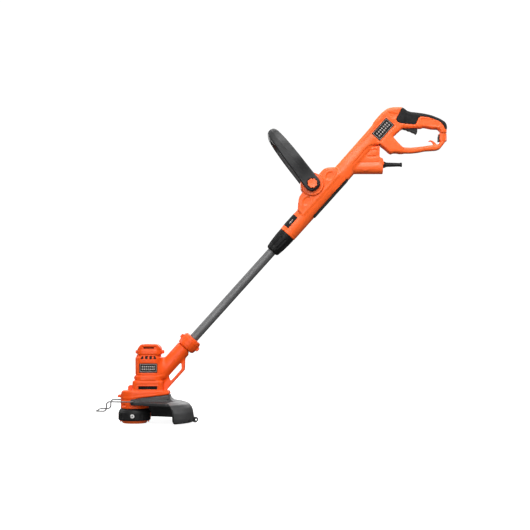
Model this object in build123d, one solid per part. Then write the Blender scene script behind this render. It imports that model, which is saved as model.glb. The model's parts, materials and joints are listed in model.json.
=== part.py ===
from build123d import *
from math import acos, cos, pi, radians, sin, tan
import os

# Electric string trimmer in millimetres. +Z is up, +X runs from the cutting head to the rear handle, and
# -Y is the user's left. The origin is on the spool's spin axis, at the underside of the spool cap.

# Shaft: the line of the lower tube. Lengths along it (s) start at SHAFT_FOOT, just inside the head's neck.
SHAFT_FOOT = (125.7, 192.5)
SHAFT_ANGLE = 48.04
TUBE_R = 12.5
TUBE_BORE_R = 11.3
TUBE_START, TUBE_END = -28.0, 500.0
TUBE_TRAVEL = 180.0
FIT = 0.08  # radial clearance of the sliding and turning fits on the tube

# Cutting head
SPOOL_R = 45.0
CAP_R = 38.0
CAP_TOP = 8.0
DRUM_TOP = 40.0
EYELET_Z = 21.3
EYELET_ANGLE = -92.0
EYELET_BORE_R = 1.5
CASE_R = 39.0
CASE_TOP = 66.0
SPOOL_SHAFT_R = 5.0
GEAR_MODULE = 1.5
GEAR_TEETH = 37
PINION_TEETH = 15
GEAR_Z = 72.0
MOTOR_X = GEAR_MODULE * (GEAR_TEETH + PINION_TEETH) / 2
MOTOR_SHAFT_R = 4.0
MOTOR_BARREL = (72.0, 72.0, 22.0)  # plan length, width and corner radius
MOTOR_BOTTOM, MOTOR_TOP = 133.0, 183.0
TOP_CAP_Z = (189.0, 219.0)
NECK_R = 20.5

# Guard
GUARD_R = 165.0
GUARD_WALL = 2.8
GUARD_BOTTOM = 4.5
GUARD_NEAR_END, GUARD_FAR_END = -45.5, 86.0  # degrees about Z from +X
GUARD_NOTCH_ANGLE = -19.5
GUARD_SCREWS = ((62, -33), (62, 33), (90, 0))
DECK_LOW, DECK_HIGH = 57.7, 60.5
ARM_INNER, ARM_OUTER = 41.5, 46.5
ARM_FRONT = -6.5
WIRE_R = 1.8
WIRE_PIVOT = (0.5, 61.0)
WIRE_HALF_SPAN = 50.5
WIRE_LEG_X, WIRE_BAR_X = -72.5, -101.0

# Upper housing
COLLAR_RIBS = 12
BARREL_R = 25.2
BARREL_START = 447.0
PIVOT_S, PIVOT_T = 596.2, 41.5
BAIL_ANGLE = 127.9
BAIL_LENGTH = 193.0
HUB_R = 32.0
HUB_HALF = 33.5
BAIL_GAP = 0.5
LEG_THICKNESS = 13.0
PAD_SEAT = -20.2  # height off the shaft's axis of the flat that the underside pad lies on
PIVOT_TUBE_R = 9.0
BUTTON_R = 13.5
BUTTON_TRAVEL = 4.0
TRIGGER_PIVOT = (750.0, 827.5)
BADGE = (692.0, 817.5)
GLAND_X, GLAND_Z = 694.0, 720.5
LEAD_R = 3.0
SCREW_R = 1.6
SCREW_HEAD_R = 3.3
BEARING_R = 11.0

SHAFT_COS, SHAFT_SIN = cos(radians(SHAFT_ANGLE)), sin(radians(SHAFT_ANGLE))
SHAFT_SIDE = Plane(
    origin=(SHAFT_FOOT[0], 0, SHAFT_FOOT[1]),
    x_dir=(SHAFT_COS, 0, SHAFT_SIN),
    z_dir=(0, -1, 0),
)
SHAFT_LINE = Plane(
    origin=(SHAFT_FOOT[0], 0, SHAFT_FOOT[1]),
    x_dir=(0, 1, 0),
    z_dir=(SHAFT_COS, 0, SHAFT_SIN),
)
MOTOR_AXIS = Plane(origin=(MOTOR_X, 0, 0))


def on_shaft(s, t):
    """X and Z of a point given by its distance along the shaft and its height off it."""
    x = SHAFT_FOOT[0] + s * SHAFT_COS - t * SHAFT_SIN
    z = SHAFT_FOOT[1] + s * SHAFT_SIN + t * SHAFT_COS
    return x, z


PIVOT = on_shaft(PIVOT_S, PIVOT_T)
BAIL_SIDE = Plane(
    origin=(PIVOT[0], 0, PIVOT[1]),
    x_dir=(cos(radians(BAIL_ANGLE)), 0, sin(radians(BAIL_ANGLE))),
    z_dir=(0, -1, 0),
)
BAIL_FRONT = Plane(
    origin=(PIVOT[0], 0, PIVOT[1]),
    x_dir=(cos(radians(BAIL_ANGLE)), 0, sin(radians(BAIL_ANGLE))),
    z_dir=(sin(radians(BAIL_ANGLE)), 0, -cos(radians(BAIL_ANGLE))),
)


# ---------------------------------------------------------------- shape helpers
def region(outline, radius=0.0):
    """Flat closed region of an outline, with every corner rounded where a radius is given."""
    if radius:
        return make_face(FilletPolyline(*outline, radius=radius, close=True))
    return make_face(Polyline(*outline, close=True))


def slab(outline, half_width, side=Plane.XZ, radius=0.0, edge=0.0):
    """An outline in a side view, reaching half_width each way from the middle plane."""
    solid = extrude(side * region(outline, radius), amount=half_width, both=True)
    if edge:
        solid = chamfer(solid.faces().filter_by(Axis.Y).edges(), edge)
    return solid


def turned(profile, place=Plane.XY):
    """Solid of revolution about the Z axis of a plane, from (radius, height) points."""
    return place * revolve(Plane.XZ * region(profile), axis=Axis.Z)


def ring(inner_r, outer_r, low, high, place=Plane.XY):
    """Tube or, with no inner radius, a rod between two heights on a plane's Z axis."""
    return turned([(inner_r, low), (outer_r, low), (outer_r, high), (inner_r, high)], place)


def block(x, y, z):
    """Box between two values on each axis."""
    return Pos((x[0] + x[1]) / 2, (y[0] + y[1]) / 2, (z[0] + z[1]) / 2) * Box(
        x[1] - x[0], y[1] - y[0], z[1] - z[0]
    )


def across(x, z, low, high, radius, inner_r=0.0):
    """Rod or tube along Y at a point of the side view."""
    place = Plane(origin=(x, 0, z), x_dir=(1, 0, 0), z_dir=(0, 1, 0))
    return ring(inner_r, radius, low, high, place)


def along_x(z, low, high, radius, inner_r=0.0):
    """Rod or tube along X in the middle plane, at a height."""
    place = Plane(origin=(0, 0, z), x_dir=(0, 1, 0), z_dir=(1, 0, 0))
    return ring(inner_r, radius, low, high, place)


def rounded_block(length, width, corner, low, high, x=MOTOR_X, edge=0.0):
    """Upright block with a rounded plan, centred on y = 0."""
    solid = extrude(Pos(x, 0, low) * RectangleRounded(length, width, corner), amount=high - low)
    if edge:
        solid = chamfer(solid.faces().filter_by(Axis.Z).edges(), edge)
    return solid


def coil(radius, wire_r, pitch, height, place):
    """Compression spring standing on a plane."""
    path = Helix(pitch, height, radius)
    section = Plane(origin=path @ 0, z_dir=path % 0) * Circle(wire_r)
    return place * sweep(section, path=path, is_frenet=True)


def spur_gear(teeth, width, bore_r):
    """Involute spur gear with one tooth centred on +X, thinned a little for backlash."""
    pressure, backlash = radians(20), 0.2
    pitch_r = GEAR_MODULE * teeth / 2
    base_r = pitch_r * cos(pressure)
    root_r = pitch_r - 1.25 * GEAR_MODULE
    tip_r = pitch_r + 0.95 * GEAR_MODULE
    start_r = max(base_r, root_r)

    def half_angle(r):
        turn = acos(base_r / r)
        at_pitch = pi / (2 * teeth) - backlash / (2 * pitch_r)
        return at_pitch + (tan(pressure) - pressure) - (tan(turn) - turn)

    flank = [(root_r, half_angle(start_r))] if root_r < start_r else []
    flank += [(r, half_angle(r)) for r in (start_r + k * (tip_r - start_r) / 4 for k in range(5))]
    outline = []
    for tooth in range(teeth):
        centre = 2 * pi * tooth / teeth
        for r, half in flank:
            outline.append((r * cos(centre - half), r * sin(centre - half)))
        for r, half in reversed(flank):
            outline.append((r * cos(centre + half), r * sin(centre + half)))
    return extrude(region(outline) - Circle(bore_r), amount=width)


def cross_screw(x, z, head_y, length):
    """Pan-head screw driven from the user's right, with its head's face at head_y."""
    head = across(x, z, head_y - 2.6, head_y, SCREW_HEAD_R)
    shank = across(x, z, head_y - length, head_y - 2.6, SCREW_R)
    drive = block((x - 1.8, x + 1.8), (head_y - 1.4, head_y + 1), (z - 0.45, z + 0.45))
    drive += block((x - 0.45, x + 0.45), (head_y - 1.4, head_y + 1), (z - 1.8, z + 1.8))
    return head + shank - drive


def cross_screw_room(x, z, head_y, length):
    """Counterbore and pilot hole for a cross screw."""
    return across(x, z, head_y - 2.7, 80, SCREW_HEAD_R + 0.5) + across(
        x, z, head_y - length - 1, head_y - 2.6, SCREW_R + 0.1
    )


def halves(solid, rooms):
    """Left and right shells of a clamshell, with the rooms cut out of both."""
    for room in rooms:
        solid -= room
    left = solid & block((-300, 1200), (-300, 0), (-300, 1200))
    right = solid & block((-300, 1200), (0, 300), (-300, 1200))
    return left, right


# ---------------------------------------------------------------- spool head
def spool_parts():
    """Everything that spins with the spool: drum, line, shaft and driven gear."""
    drum = turned(
        [
            (SPOOL_SHAFT_R + 0.05, 16), (9, 16), (9, 33), (35, 33), (41, 28), (41.5, CAP_TOP + 0.4),
            (43.4, CAP_TOP + 0.4), (SPOOL_R, 10.5), (SPOOL_R, 30), (43, 35), (39.5, DRUM_TOP),
            (SPOOL_SHAFT_R + 0.05, DRUM_TOP),
        ]
    )
    eyelets = []
    for angle in (EYELET_ANGLE, EYELET_ANGLE + 180):
        axis = Plane(
            origin=(0, 0, EYELET_Z),
            x_dir=(0, 0, 1),
            z_dir=(cos(radians(angle)), sin(radians(angle)), 0),
        )
        drum += ring(0, 9, 40, SPOOL_R + 0.9, axis) - ring(0, 42, 0, 60)
        seat = [(0, 30), (4.1, 30), (4.1, SPOOL_R), (5.5, SPOOL_R + 1.4), (0, SPOOL_R + 1.4)]
        drum -= turned(seat, axis)
        sleeve = ring(EYELET_BORE_R, 4, 41.2, 46.1, axis)
        lip = [(EYELET_BORE_R, 46.1), (6, 46.1), (5.2, 47.4), (2.6, 47.6), (EYELET_BORE_R, 46.6)]
        eyelets.append(sleeve + turned(lip, axis))
    for x in (-SPOOL_R, SPOOL_R):
        drum -= block((x - 8, x + 8), (-7.6, 7.6), (CAP_TOP, 31))
    spool = turned([(9.3, 11), (35, 11), (35, 13), (14, 13), (14, 29), (35, 29), (35, 31), (9.3, 31)])
    winding = ring(14.2, 30, 13.2, 28.8)
    lever = block((12, 33), (-4, 4), (31.3, 32.7)) - ring(0, 10, 30, 34)
    shaft = ring(0, SPOOL_SHAFT_R, 12, 89) + ring(0, 7.5, 13, 15.5)
    gear = Pos(0, 0, GEAR_Z) * spur_gear(GEAR_TEETH, 8, SPOOL_SHAFT_R + 0.05)
    gear += ring(SPOOL_SHAFT_R + 0.05, 10, GEAR_Z - 1.4, GEAR_Z)
    return {
        "spool_drum": drum,
        "line_eyelets": Compound(eyelets),
        "line_spool": spool,
        "line_winding": winding,
        "feed_lever": lever,
        "spool_shaft": shaft,
        "drive_gear": gear,
        "spool_spring": coil(12, 0.8, 2.6, 5.2, Plane(origin=(0, 0, 4.4))),
    }


def cap_parts():
    """Spool cap and its two release tabs, which snap into windows of the drum."""
    cap = turned(
        [
            (0, 0), (31.5, 0), (33, 0.8), (CAP_R, CAP_TOP - 1), (CAP_R, CAP_TOP), (35.5, CAP_TOP),
            (30.5, 3.2), (14.5, 3.2), (14.5, 7), (13.4, 7), (13.4, 3.2), (0, 3.2),
        ]
    )
    tabs = {}
    for name, side in (("release_tab_front", -1), ("release_tab_rear", 1)):
        hook = [(37.4, 3.8), (40.4, 3.8), (40.4, 9), (44.6, 12), (44.6, 29), (42.2, 29), (37.4, 9)]
        finger = slab([(side * x, z) for x, z in hook], 7)
        cap -= block(sorted((side * 34.6, side * 41.0)), (-7.4, 7.4), (3.4, 9))
        cap += block(sorted((side * 30.0, side * 34.4)), (-7.4, 7.4), (1.5, 6))
        tabs[name] = finger
    return {"spool_cap": cap, **tabs}


# ---------------------------------------------------------------- motor
def motor_parts():
    """Armature, shaft, fan and pinion, which spin inside the stator."""
    core = ring(MOTOR_SHAFT_R + 0.05, 25, 132, 170, MOTOR_AXIS)
    for k in range(12):
        core -= MOTOR_AXIS * (Rot(0, 0, 30 * k) * block((19, 26), (-1.4, 1.4), (131, 171)))
    fan = ring(MOTOR_SHAFT_R + 0.05, 30, 114, 116, MOTOR_AXIS)
    fan += ring(MOTOR_SHAFT_R + 0.05, 8, 116, 124, MOTOR_AXIS)
    for k in range(9):
        fan += MOTOR_AXIS * (Rot(0, 0, 40 * k) * block((7, 29), (-0.8, 0.8), (115.5, 123)))
    pinion = Pos(MOTOR_X, 0, GEAR_Z - 0.5) * spur_gear(PINION_TEETH, 9.5, MOTOR_SHAFT_R + 0.05)
    commutator = ring(MOTOR_SHAFT_R + 0.05, 9.5, 174, 188, MOTOR_AXIS)
    for k in range(12):
        commutator -= MOTOR_AXIS * (Rot(0, 0, 30 * k + 15) * block((8.6, 10), (-0.3, 0.3), (173, 189)))
    return {
        "motor_armature": core,
        "motor_fan": fan,
        "motor_pinion": pinion,
        "motor_commutator": commutator,
        "motor_shaft": ring(0, MOTOR_SHAFT_R, 68.5, 203, MOTOR_AXIS),
    }


def case_plan(low, high):
    """Plan of the gear case: round about the spool, tapering back under the motor."""
    back = make_face(Polyline((0, 39.5), (60, 39), (99, 31), (99, -31), (60, -39), (0, -39.5), close=True))
    return extrude(Pos(0, 0, low) * (Circle(39.5) + back), amount=high - low)


def head_parts():
    """Clamshell of motor, gear case and neck, with the fixed parts inside it."""
    tube_bore = ring(0, TUBE_R + FIT, TUBE_START - 2, 30, SHAFT_LINE)
    case_side = [
        (-40.5, 66), (-39.5, 80), (-35.5, 88), (-32, 91), (60, 91), (95, 90), (100.5, 80.3), (-7.5, 68),
        (-9, 66),
    ]
    case = case_plan(60, 95) & slab(case_side, 60)
    case += slab([(-47.5, 71), (-38, 71), (-38, 79), (-46, 79)], 8)
    case += slab([(-18.5, 90), (-4, 90), (-4, 105), (-15, 105), (-18.5, 101)], 8)
    motor = rounded_block(*MOTOR_BARREL, MOTOR_BOTTOM, MOTOR_TOP, edge=2)
    motor += rounded_block(66, 66, 20, MOTOR_TOP - 1, TOP_CAP_Z[0])
    motor += rounded_block(76, 74, 22, 118, MOTOR_BOTTOM, edge=2)
    motor += rounded_block(84.5, 74, 16, 88, 118.5, x=37.75)
    motor += slab([(0.5, 120), (5, 120), (5, 131), (0.5, 131), (-1.5, 128), (-1.5, 123)], 10)
    neck = ring(0, NECK_R, -78, 20.3, SHAFT_LINE) & block((40, 300), (-60, 60), (92, 300))
    brace_side = [(0, 10), (0, -21), (-24, -40.5), (-100, -40.5), (-125, -12), (-60, 10)]
    brace = slab(brace_side, 10, SHAFT_SIDE, radius=3, edge=1.5)
    brace &= block((40, 140.5), (-60, 60), (88, 300))
    slot_side = [(-67, -18.5), (-20, -18.5), (-17, -21), (-28, -32), (-73, -32), (-72, -26)]
    slot = slab(slot_side, 30, SHAFT_SIDE, radius=2)
    sump = ring(0, 38.5, CASE_TOP, 80) + ring(0, 17.5, CASE_TOP, 80, MOTOR_AXIS)
    outer = case + sump + motor + neck + brace - slot
    screws = [
        (-11.5, 97.5, 7, 12), (4, 109, 34, 42), (72, 109, 34, 42), (104, 150, 14, 24), (88, 84.5, 26, 34),
    ]
    rooms = [
        tube_bore,
        ring(0, 31, GEAR_Z - 2, GEAR_Z + 10.5),
        ring(0, 14.2, GEAR_Z - 4.5, GEAR_Z + 12, MOTOR_AXIS),
        ring(0, 5.6, 60, 95),
        ring(0, BEARING_R + 0.06, GEAR_Z + 10.4, 89.1),
        ring(0, 4.8, 60, 112, MOTOR_AXIS),
        ring(0, BEARING_R + 0.06, 103.9, 112, MOTOR_AXIS),
        ring(0, 33, 112, 187, MOTOR_AXIS),
        ring(0, 27, 186, 190, MOTOR_AXIS),
        block((15.5, 65.5), (-37, -34.8), (140.5, 166.5)),
    ]
    for side in (-1, 1):
        wall = sorted((side * 28, side * 40))
        rooms.append(block((13.5, 65.5), wall, (94.5, 103.5)))
        rooms += [block((x, x + 7), wall, (177, 185.5)) for x in (19.5, 31.5, 43.5, 55.5)]
    rooms += [cross_screw_room(*screw) for screw in screws]
    rooms += [Pos(x, y, 68) * Cylinder(1.7, 26) for x, y in GUARD_SCREWS]
    left, right = halves(outer, rooms)

    low, high = TOP_CAP_Z
    cap_side = [
        (7.5, low), (7.5, 203), (16.5, 216), (22.5, high), (62.5, high), (70.5, 213), (75.5, 203),
        (75.5, low),
    ]
    cap = slab(cap_side, 34)
    cap &= rounded_block(68, 68, 20, 188, 220, x=41.5, edge=4)
    cap += slab([(2.5, 193.5), (10, 193.5), (10, 200.5), (2.5, 200.5)], 9)
    cap += slab([(70, 193.5), (81.5, 193.5), (81.5, 200.5), (70, 200.5)], 9)
    cap -= ring(0, 27, 188, 194, MOTOR_AXIS)
    cap -= ring(0, 9.56, 193.9, 204, MOTOR_AXIS)
    for side in (-1, 1):
        cap -= block((24.5, 52.5), sorted((side * 30, side * 40)), (205.5, 210))

    cover = ring(5.6, CASE_R, DRUM_TOP + 1.2, CASE_TOP)
    cover -= ring(0, 35.5, 40, 57) - ring(0, 15, 50, 60)
    cover -= ring(0, BEARING_R + 0.06, 58, 70)
    badge = block((15.7, 65.3), (-36.1, -34.9), (140.7, 166.3))
    motor_bearing_low = ring(MOTOR_SHAFT_R + 0.04, BEARING_R, 104, 110, MOTOR_AXIS)
    motor_bearing_high = ring(MOTOR_SHAFT_R + 0.04, 9.5, 194, 200, MOTOR_AXIS)
    spool_bearings = [ring(SPOOL_SHAFT_R + 0.04, BEARING_R, *span) for span in ((58.1, 65), (82.9, 89))]
    return {
        "head_housing_left": left,
        "head_housing_right": right,
        "motor_top_cap": cap,
        "gearbox_cover": cover,
        "head_badge": chamfer(badge.edges().filter_by(Axis.Y), 2),
        "head_screws": Compound([cross_screw(*screw) for screw in screws]),
        "motor_stator": ring(26, 32.9, 130, 174, MOTOR_AXIS),
        "motor_bearings": Compound([motor_bearing_low, motor_bearing_high]),
        "spool_bearings": Compound(spool_bearings),
    }


# ---------------------------------------------------------------- guard and edge guide
def polar(radius, angle):
    """Point of the guard's plan at a radius and an angle in degrees."""
    return radius * cos(radians(angle)), radius * sin(radians(angle))


def guard_parts():
    """Debris guard with its shield wall, the line cutter and the flip-down edge guide."""
    skirt = [
        (128, DECK_HIGH), (136, 60), (151, 55), (159, 45), (163, 33), (GUARD_R, 16),
        (GUARD_R, GUARD_BOTTOM), (GUARD_R - GUARD_WALL, GUARD_BOTTOM), (160.2, 32), (156.4, 43.6),
        (149.4, 52.4), (135.4, 57.2), (128, DECK_LOW),
    ]
    shield = revolve(Plane.XZ * region(skirt), axis=Axis.Z, revolution_arc=GUARD_FAR_END - GUARD_NEAR_END)
    shield = Rot(0, 0, GUARD_NEAR_END) * shield
    rear = ThreePointArc(polar(132, GUARD_FAR_END), polar(132, 16), polar(132, GUARD_NEAR_END))
    edge = Polyline(
        polar(132, GUARD_NEAR_END), (66, -84), (30, -60), (-2, -ARM_OUTER), (ARM_FRONT, -ARM_OUTER),
        (ARM_FRONT, ARM_OUTER), (8, ARM_OUTER), polar(132, GUARD_FAR_END),
    )
    deck = extrude(Pos(0, 0, DECK_LOW) * make_face([rear, *edge.edges()]), amount=DECK_HIGH - DECK_LOW)
    lip_plan = region([(66, -84), (30, -60), (30, -57), (65, -80.4)])
    lip_plan += region([(30, -60), (3, -49.9), (3, -46.5), (30, -57)])
    lip = extrude(Pos(0, 0, 52) * lip_plan, amount=8)
    hub = case_plan(52, 90) & slab([(-12, 52), (98, 52), (98, 79.6), (-7.5, 67.4), (-12, 67.4)], 60)
    collar = extrude(Pos(0, 0, 52) * (Circle(46.5) + Pos(49, 0) * Rectangle(98, 86)), amount=26)
    collar &= slab([(ARM_FRONT, 52), (100, 52), (100, 72), (-5, 66), (ARM_FRONT, 66)], 60)
    rise_side = make_face(
        [Line((90, 60), (90, 78)), RadiusArc((90, 78), (122, 60), -40), Line((122, 60), (90, 60))]
    )
    rise = Rot(0, 0, -20) * revolve(Plane.XZ * rise_side, axis=Axis.Z, revolution_arc=40)
    arms = [
        block((ARM_FRONT, 20), sorted((side * ARM_INNER, side * ARM_OUTER)), (52, 67)) for side in (-1, 1)
    ]
    guard = deck + shield + lip + hub + collar + rise
    guard -= ring(0, CASE_R + 0.4, 40, 90)
    case_room = [(-60, 66), (-9, 66), (-7.5, 68), (100.5, 80.3), (100.5, 130), (-60, 130)]
    guard -= case_plan(60, 120) & slab(case_room, 70)
    guard -= ring(0, 50, 40, DECK_LOW) + ring(0, 18, 40, 90, MOTOR_AXIS)
    guard -= block((41, 93), (-29, 29), (48, DECK_LOW))
    guard += arms[0] + arms[1]
    guard -= across(*WIRE_PIVOT, -60, 60, WIRE_R + 0.06)
    lug = slab([(160, 1.5), (172, 1.5), (177, 7), (177, 13), (172, 17), (160, 17)], 4, radius=1.5)
    lug -= ring(0, GUARD_R - GUARD_WALL + 0.5, -5, 40)
    lug -= across(171, 9, -10, 10, 2.6)
    guard += lug
    notch = Pos(GUARD_R, 0, GUARD_BOTTOM) * Cylinder(9, 40, rotation=(0, 90, 0))
    guard -= Rot(0, 0, GUARD_NOTCH_ANGLE) * notch

    cutter_place = Rot(0, 0, GUARD_NEAR_END + 6) * Pos(GUARD_R - GUARD_WALL - 2.7, 0, 12)
    blade = cutter_place * (block((-0.7, 0.7), (-11, 11), (-9, 8)) - block((-2, 2), (-7, 1), (-12, -6)))
    cutter_screws = []
    for offset in (-6, 6):
        place = cutter_place * Pos(-0.7, offset, 4) * Rot(0, 90, 0)
        blade -= place * Cylinder(1.8, 20)
        guard -= place * Cylinder(1.7, 30)
        cutter_screws.append(place * (Pos(0, 0, -1.1) * Cylinder(3, 2) + Pos(0, 0, 2) * Cylinder(1.6, 4.4)))

    guard_screws = []
    for x, y in GUARD_SCREWS:
        guard -= Pos(x, y, 60) * Cylinder(2.1, 60)
        guard -= Pos(x, y, 51) * Cylinder(4.4, 12)
        guard_screws.append(Pos(x, y, 55.3) * Cylinder(3.8, 3) + Pos(x, y, 68.4) * Cylinder(1.6, 24))

    half, (px, pz) = WIRE_HALF_SPAN, WIRE_PIVOT
    route = [
        (px, -ARM_INNER - 0.4, pz), (px, -half, pz), (WIRE_LEG_X, -half, 62), (WIRE_LEG_X, -half, 36),
        (WIRE_BAR_X, -half, 36.5), (WIRE_BAR_X, half, 36.5), (WIRE_LEG_X, half, 36),
        (WIRE_LEG_X, half, 62), (px, half, pz), (px, ARM_INNER + 0.4, pz),
    ]
    path = FilletPolyline(*route, radius=[3, 9, 9, 8, 8, 9, 9, 3])
    wire = sweep(Plane(origin=route[0], z_dir=(0, -1, 0)) * Circle(WIRE_R), path=path)
    return {
        "guard": guard,
        "guard_screws": Compound(guard_screws + cutter_screws),
        "line_cutter": blade,
        "edge_guide": wire,
    }


# ---------------------------------------------------------------- lower tube and collars
def tube_parts():
    """Telescoping tube, the head's release collar and the twist collar that clamps the length."""
    tube = ring(TUBE_BORE_R, TUBE_R, TUBE_START, TUBE_END, SHAFT_LINE)
    stop = ring(0, TUBE_BORE_R - 0.05, TUBE_END - 14, TUBE_END, SHAFT_LINE)
    stop += ring(0, TUBE_R + 0.6, TUBE_END + 0.05, TUBE_END + 4, SHAFT_LINE)
    stop -= ring(0, 4, TUBE_END - 20, TUBE_END + 10, SHAFT_LINE)
    collar = turned(
        [
            (TUBE_R + 0.4, 21), (19.5, 21), (25, 26.5), (27, 33), (27, 47), (25.5, 51.5), (20.5, 57),
            (TUBE_R + 0.4, 57),
        ],
        SHAFT_LINE,
    )
    lugs = [(35, -32), (46.5, -32), (48, -20), (48, 20), (46.5, 32), (35, 32), (33, 20), (33, -20)]
    collar += slab(lugs, 9, SHAFT_SIDE, edge=1)
    collar -= ring(0, TUBE_R + 0.4, 15, 60, SHAFT_LINE)
    collar -= ring(0, 18, 24.5, 53, SHAFT_LINE)
    retainer = ring(TUBE_R + 0.05, 16.5, 47, 49.5, SHAFT_LINE)
    spring = coil(15.2, 0.8, 3.6, 19.4, SHAFT_LINE * Pos(0, 0, 26.3))
    twist = turned(
        [
            (TUBE_R + 0.5, 383), (17, 383.6), (19.5, 386.5), (21, 397), (22.3, 407), (23.7, 427),
            (24.4, 443), (24.4, BARREL_START - 0.5), (TUBE_R + 0.5, BARREL_START - 0.5),
        ],
        SHAFT_LINE,
    )
    twist -= ring(0, 18.3, 392, 460, SHAFT_LINE)
    groove = block((20.8, 30), (-1.6, 1.6), (390, 430))
    for k in range(COLLAR_RIBS):
        twist -= SHAFT_LINE * (Rot(0, 0, 360 * (k + 0.5) / COLLAR_RIBS) * groove)
    collet = ring(TUBE_R + FIT, 17.4, 394, 474, SHAFT_LINE)
    for k in range(4):
        collet -= SHAFT_LINE * (Rot(0, 0, 90 * k + 45) * block((12, 20), (-1, 1), (393, 425)))
    return {
        "lower_tube": tube,
        "tube_stop": stop,
        "head_collar": collar,
        "collar_retainer": retainer,
        "collar_spring": spring,
        "twist_collar": twist,
        "tube_collet": collet,
    }


# ---------------------------------------------------------------- upper housing
def lead_route(radius):
    """Supply lead from the gland through the housing to the switch."""
    points = [
        (GLAND_X - 2, 0, GLAND_Z), (668, 0, GLAND_Z), (653, 0, 741), (668, 0, 772), (700, 0, 796),
        (722, 0, 832), (738, 0, 850.5), (755.4, 0, 850.5),
    ]
    path = FilletPolyline(*points, radius=[12, 14, 20, 30, 20, 12])
    direction = Vector(*points[1]) - Vector(*points[0])
    return sweep(Plane(origin=points[0], z_dir=direction) * Circle(radius), path=path)


def grip_region():
    """Side outline of the soft grip over the back of the handle's top bar."""
    return [
        (748.5, 882), (738.5, 865), (728.5, 847), (732.5, 839), (741, 835.5), (781, 831.5), (785.5, 834),
        (789, 845), (793, 852), (799, 855), (820.5, 852), (845.5, 843), (855.5, 837), (862.5, 827),
        (866, 818), (880, 820), (880, 840), (860, 870), (800, 885),
    ]


def upper_outer():
    """Outside of the upper housing: tube barrel, bail hubs, handle ring and cord box."""
    barrel = ring(0, BARREL_R, BARREL_START, 770, SHAFT_LINE)
    hump = [
        (513, -21), (513, 20), (527, 32), (545, 44.5), (555, 46), (650, 46.5), (660, 41), (676, 25),
        (676, -21),
    ]
    spine = [
        on_shaft(620, 25), on_shaft(835, 27.5), (664.5, 837), (670.5, 845), (690.5, 867), (705.5, 878),
        (722, 881.5), (747, 882), (758.5, 872), (758, 836), (743.5, 818), (732.5, 808), (720.5, 798),
        (745.5, 770), (750, 752), (720.5, 753), (716.5, 750), (710.5, 752), (698.5, 763), (688, 771),
        (683.5, 774), (659, 772), (644, 762), (624, 737), on_shaft(706, -10), on_shaft(695, -24.5),
        on_shaft(620, -23),
    ]
    top_bar = [
        (740, 818), (747, 821), (790, 821.5), (801, 822), (806.5, 825), (815.5, 823), (830.5, 820),
        (845.5, 820), (851, 816), (853.5, 806), (870.5, 806), (871, 815), (872.5, 824), (870.5, 834),
        (865.5, 841), (850.5, 850), (830.5, 858), (810.5, 863), (790.5, 866), (770.5, 868), (758.5, 872),
        (740, 881),
    ]
    low_bar = [
        (735, 752), (770.5, 752), (790.5, 754), (810.5, 758), (842.5, 760), (852.5, 764), (860.5, 775),
        (868.5, 785), (871, 808), (850, 808), (848, 787), (852.5, 785), (850.5, 779), (842.5, 776),
        (820.5, 774), (800.5, 771), (770.5, 768), (750.5, 769), (744, 771.5), (735, 780),
    ]
    hook = [
        (835, 774), (844, 777), (839, 783), (833, 787.5), (825.5, 790), (820, 786.5), (821.5, 784),
        (826.5, 786), (831, 782.5), (833, 778),
    ]
    outer = barrel + slab(hump, 27, SHAFT_SIDE, edge=3) + slab(spine, 20, edge=3)
    outer += slab(top_bar, 17, edge=3) + slab(low_bar, 11.5, edge=3) + slab(hook, 4)
    outer += across(*PIVOT, -HUB_HALF, HUB_HALF, HUB_R)
    outer += turned(
        [(0, 785), (9, 785), (11.5, 788), (11.5, 804), (9, 807), (0, 807)], Plane(origin=(860, 0, 0))
    )
    outer += along_x(711.3, 607, 692, 17.3)
    web = [(607, 719), (624, 737), (644, 762), (684, 774), (683, 741), (692, 737), (696, 720), (640, 700)]
    outer += slab(web, 16)
    return outer & block((300, 900), (-40, 40), (400, 900))


def upper_hollow(screws):
    """Space inside the upper shells, leaving the walls, the tube's channel and the screw bosses."""
    hump = [(530, -17), (530, 18), (548, 39), (556, 41), (648, 41), (656, 37), (669, 21), (669, -17)]
    spine = [
        on_shaft(704, 20), on_shaft(832, 23), (675, 841), (694, 863), (708, 874), (726, 877), (729, 868),
        (721, 850), (727, 832), (714, 806), (713, 796), (735, 768), (738, 757), (714, 757), (700, 768),
        (676, 779), (656, 778), (637, 759), (618, 737), on_shaft(704, 0),
    ]
    hollow = ring(0, BARREL_R - 3, 476, 700, SHAFT_LINE)
    hollow -= slab([(470, -40), (710, -40), (710, PAD_SEAT + 3), (470, PAD_SEAT + 3)], 40, SHAFT_SIDE)
    hollow += slab(hump, 23, SHAFT_SIDE) + slab(spine, 16.5) + along_x(711.3, 625, 683, 14)
    hollow -= ring(0, TUBE_R + 3.3, 440, 695, SHAFT_LINE) + across(*PIVOT, -40, 40, 13)
    for x, z, *_ in screws:
        hollow -= across(x, z, -40, 40, 4.2)
    return hollow


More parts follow.
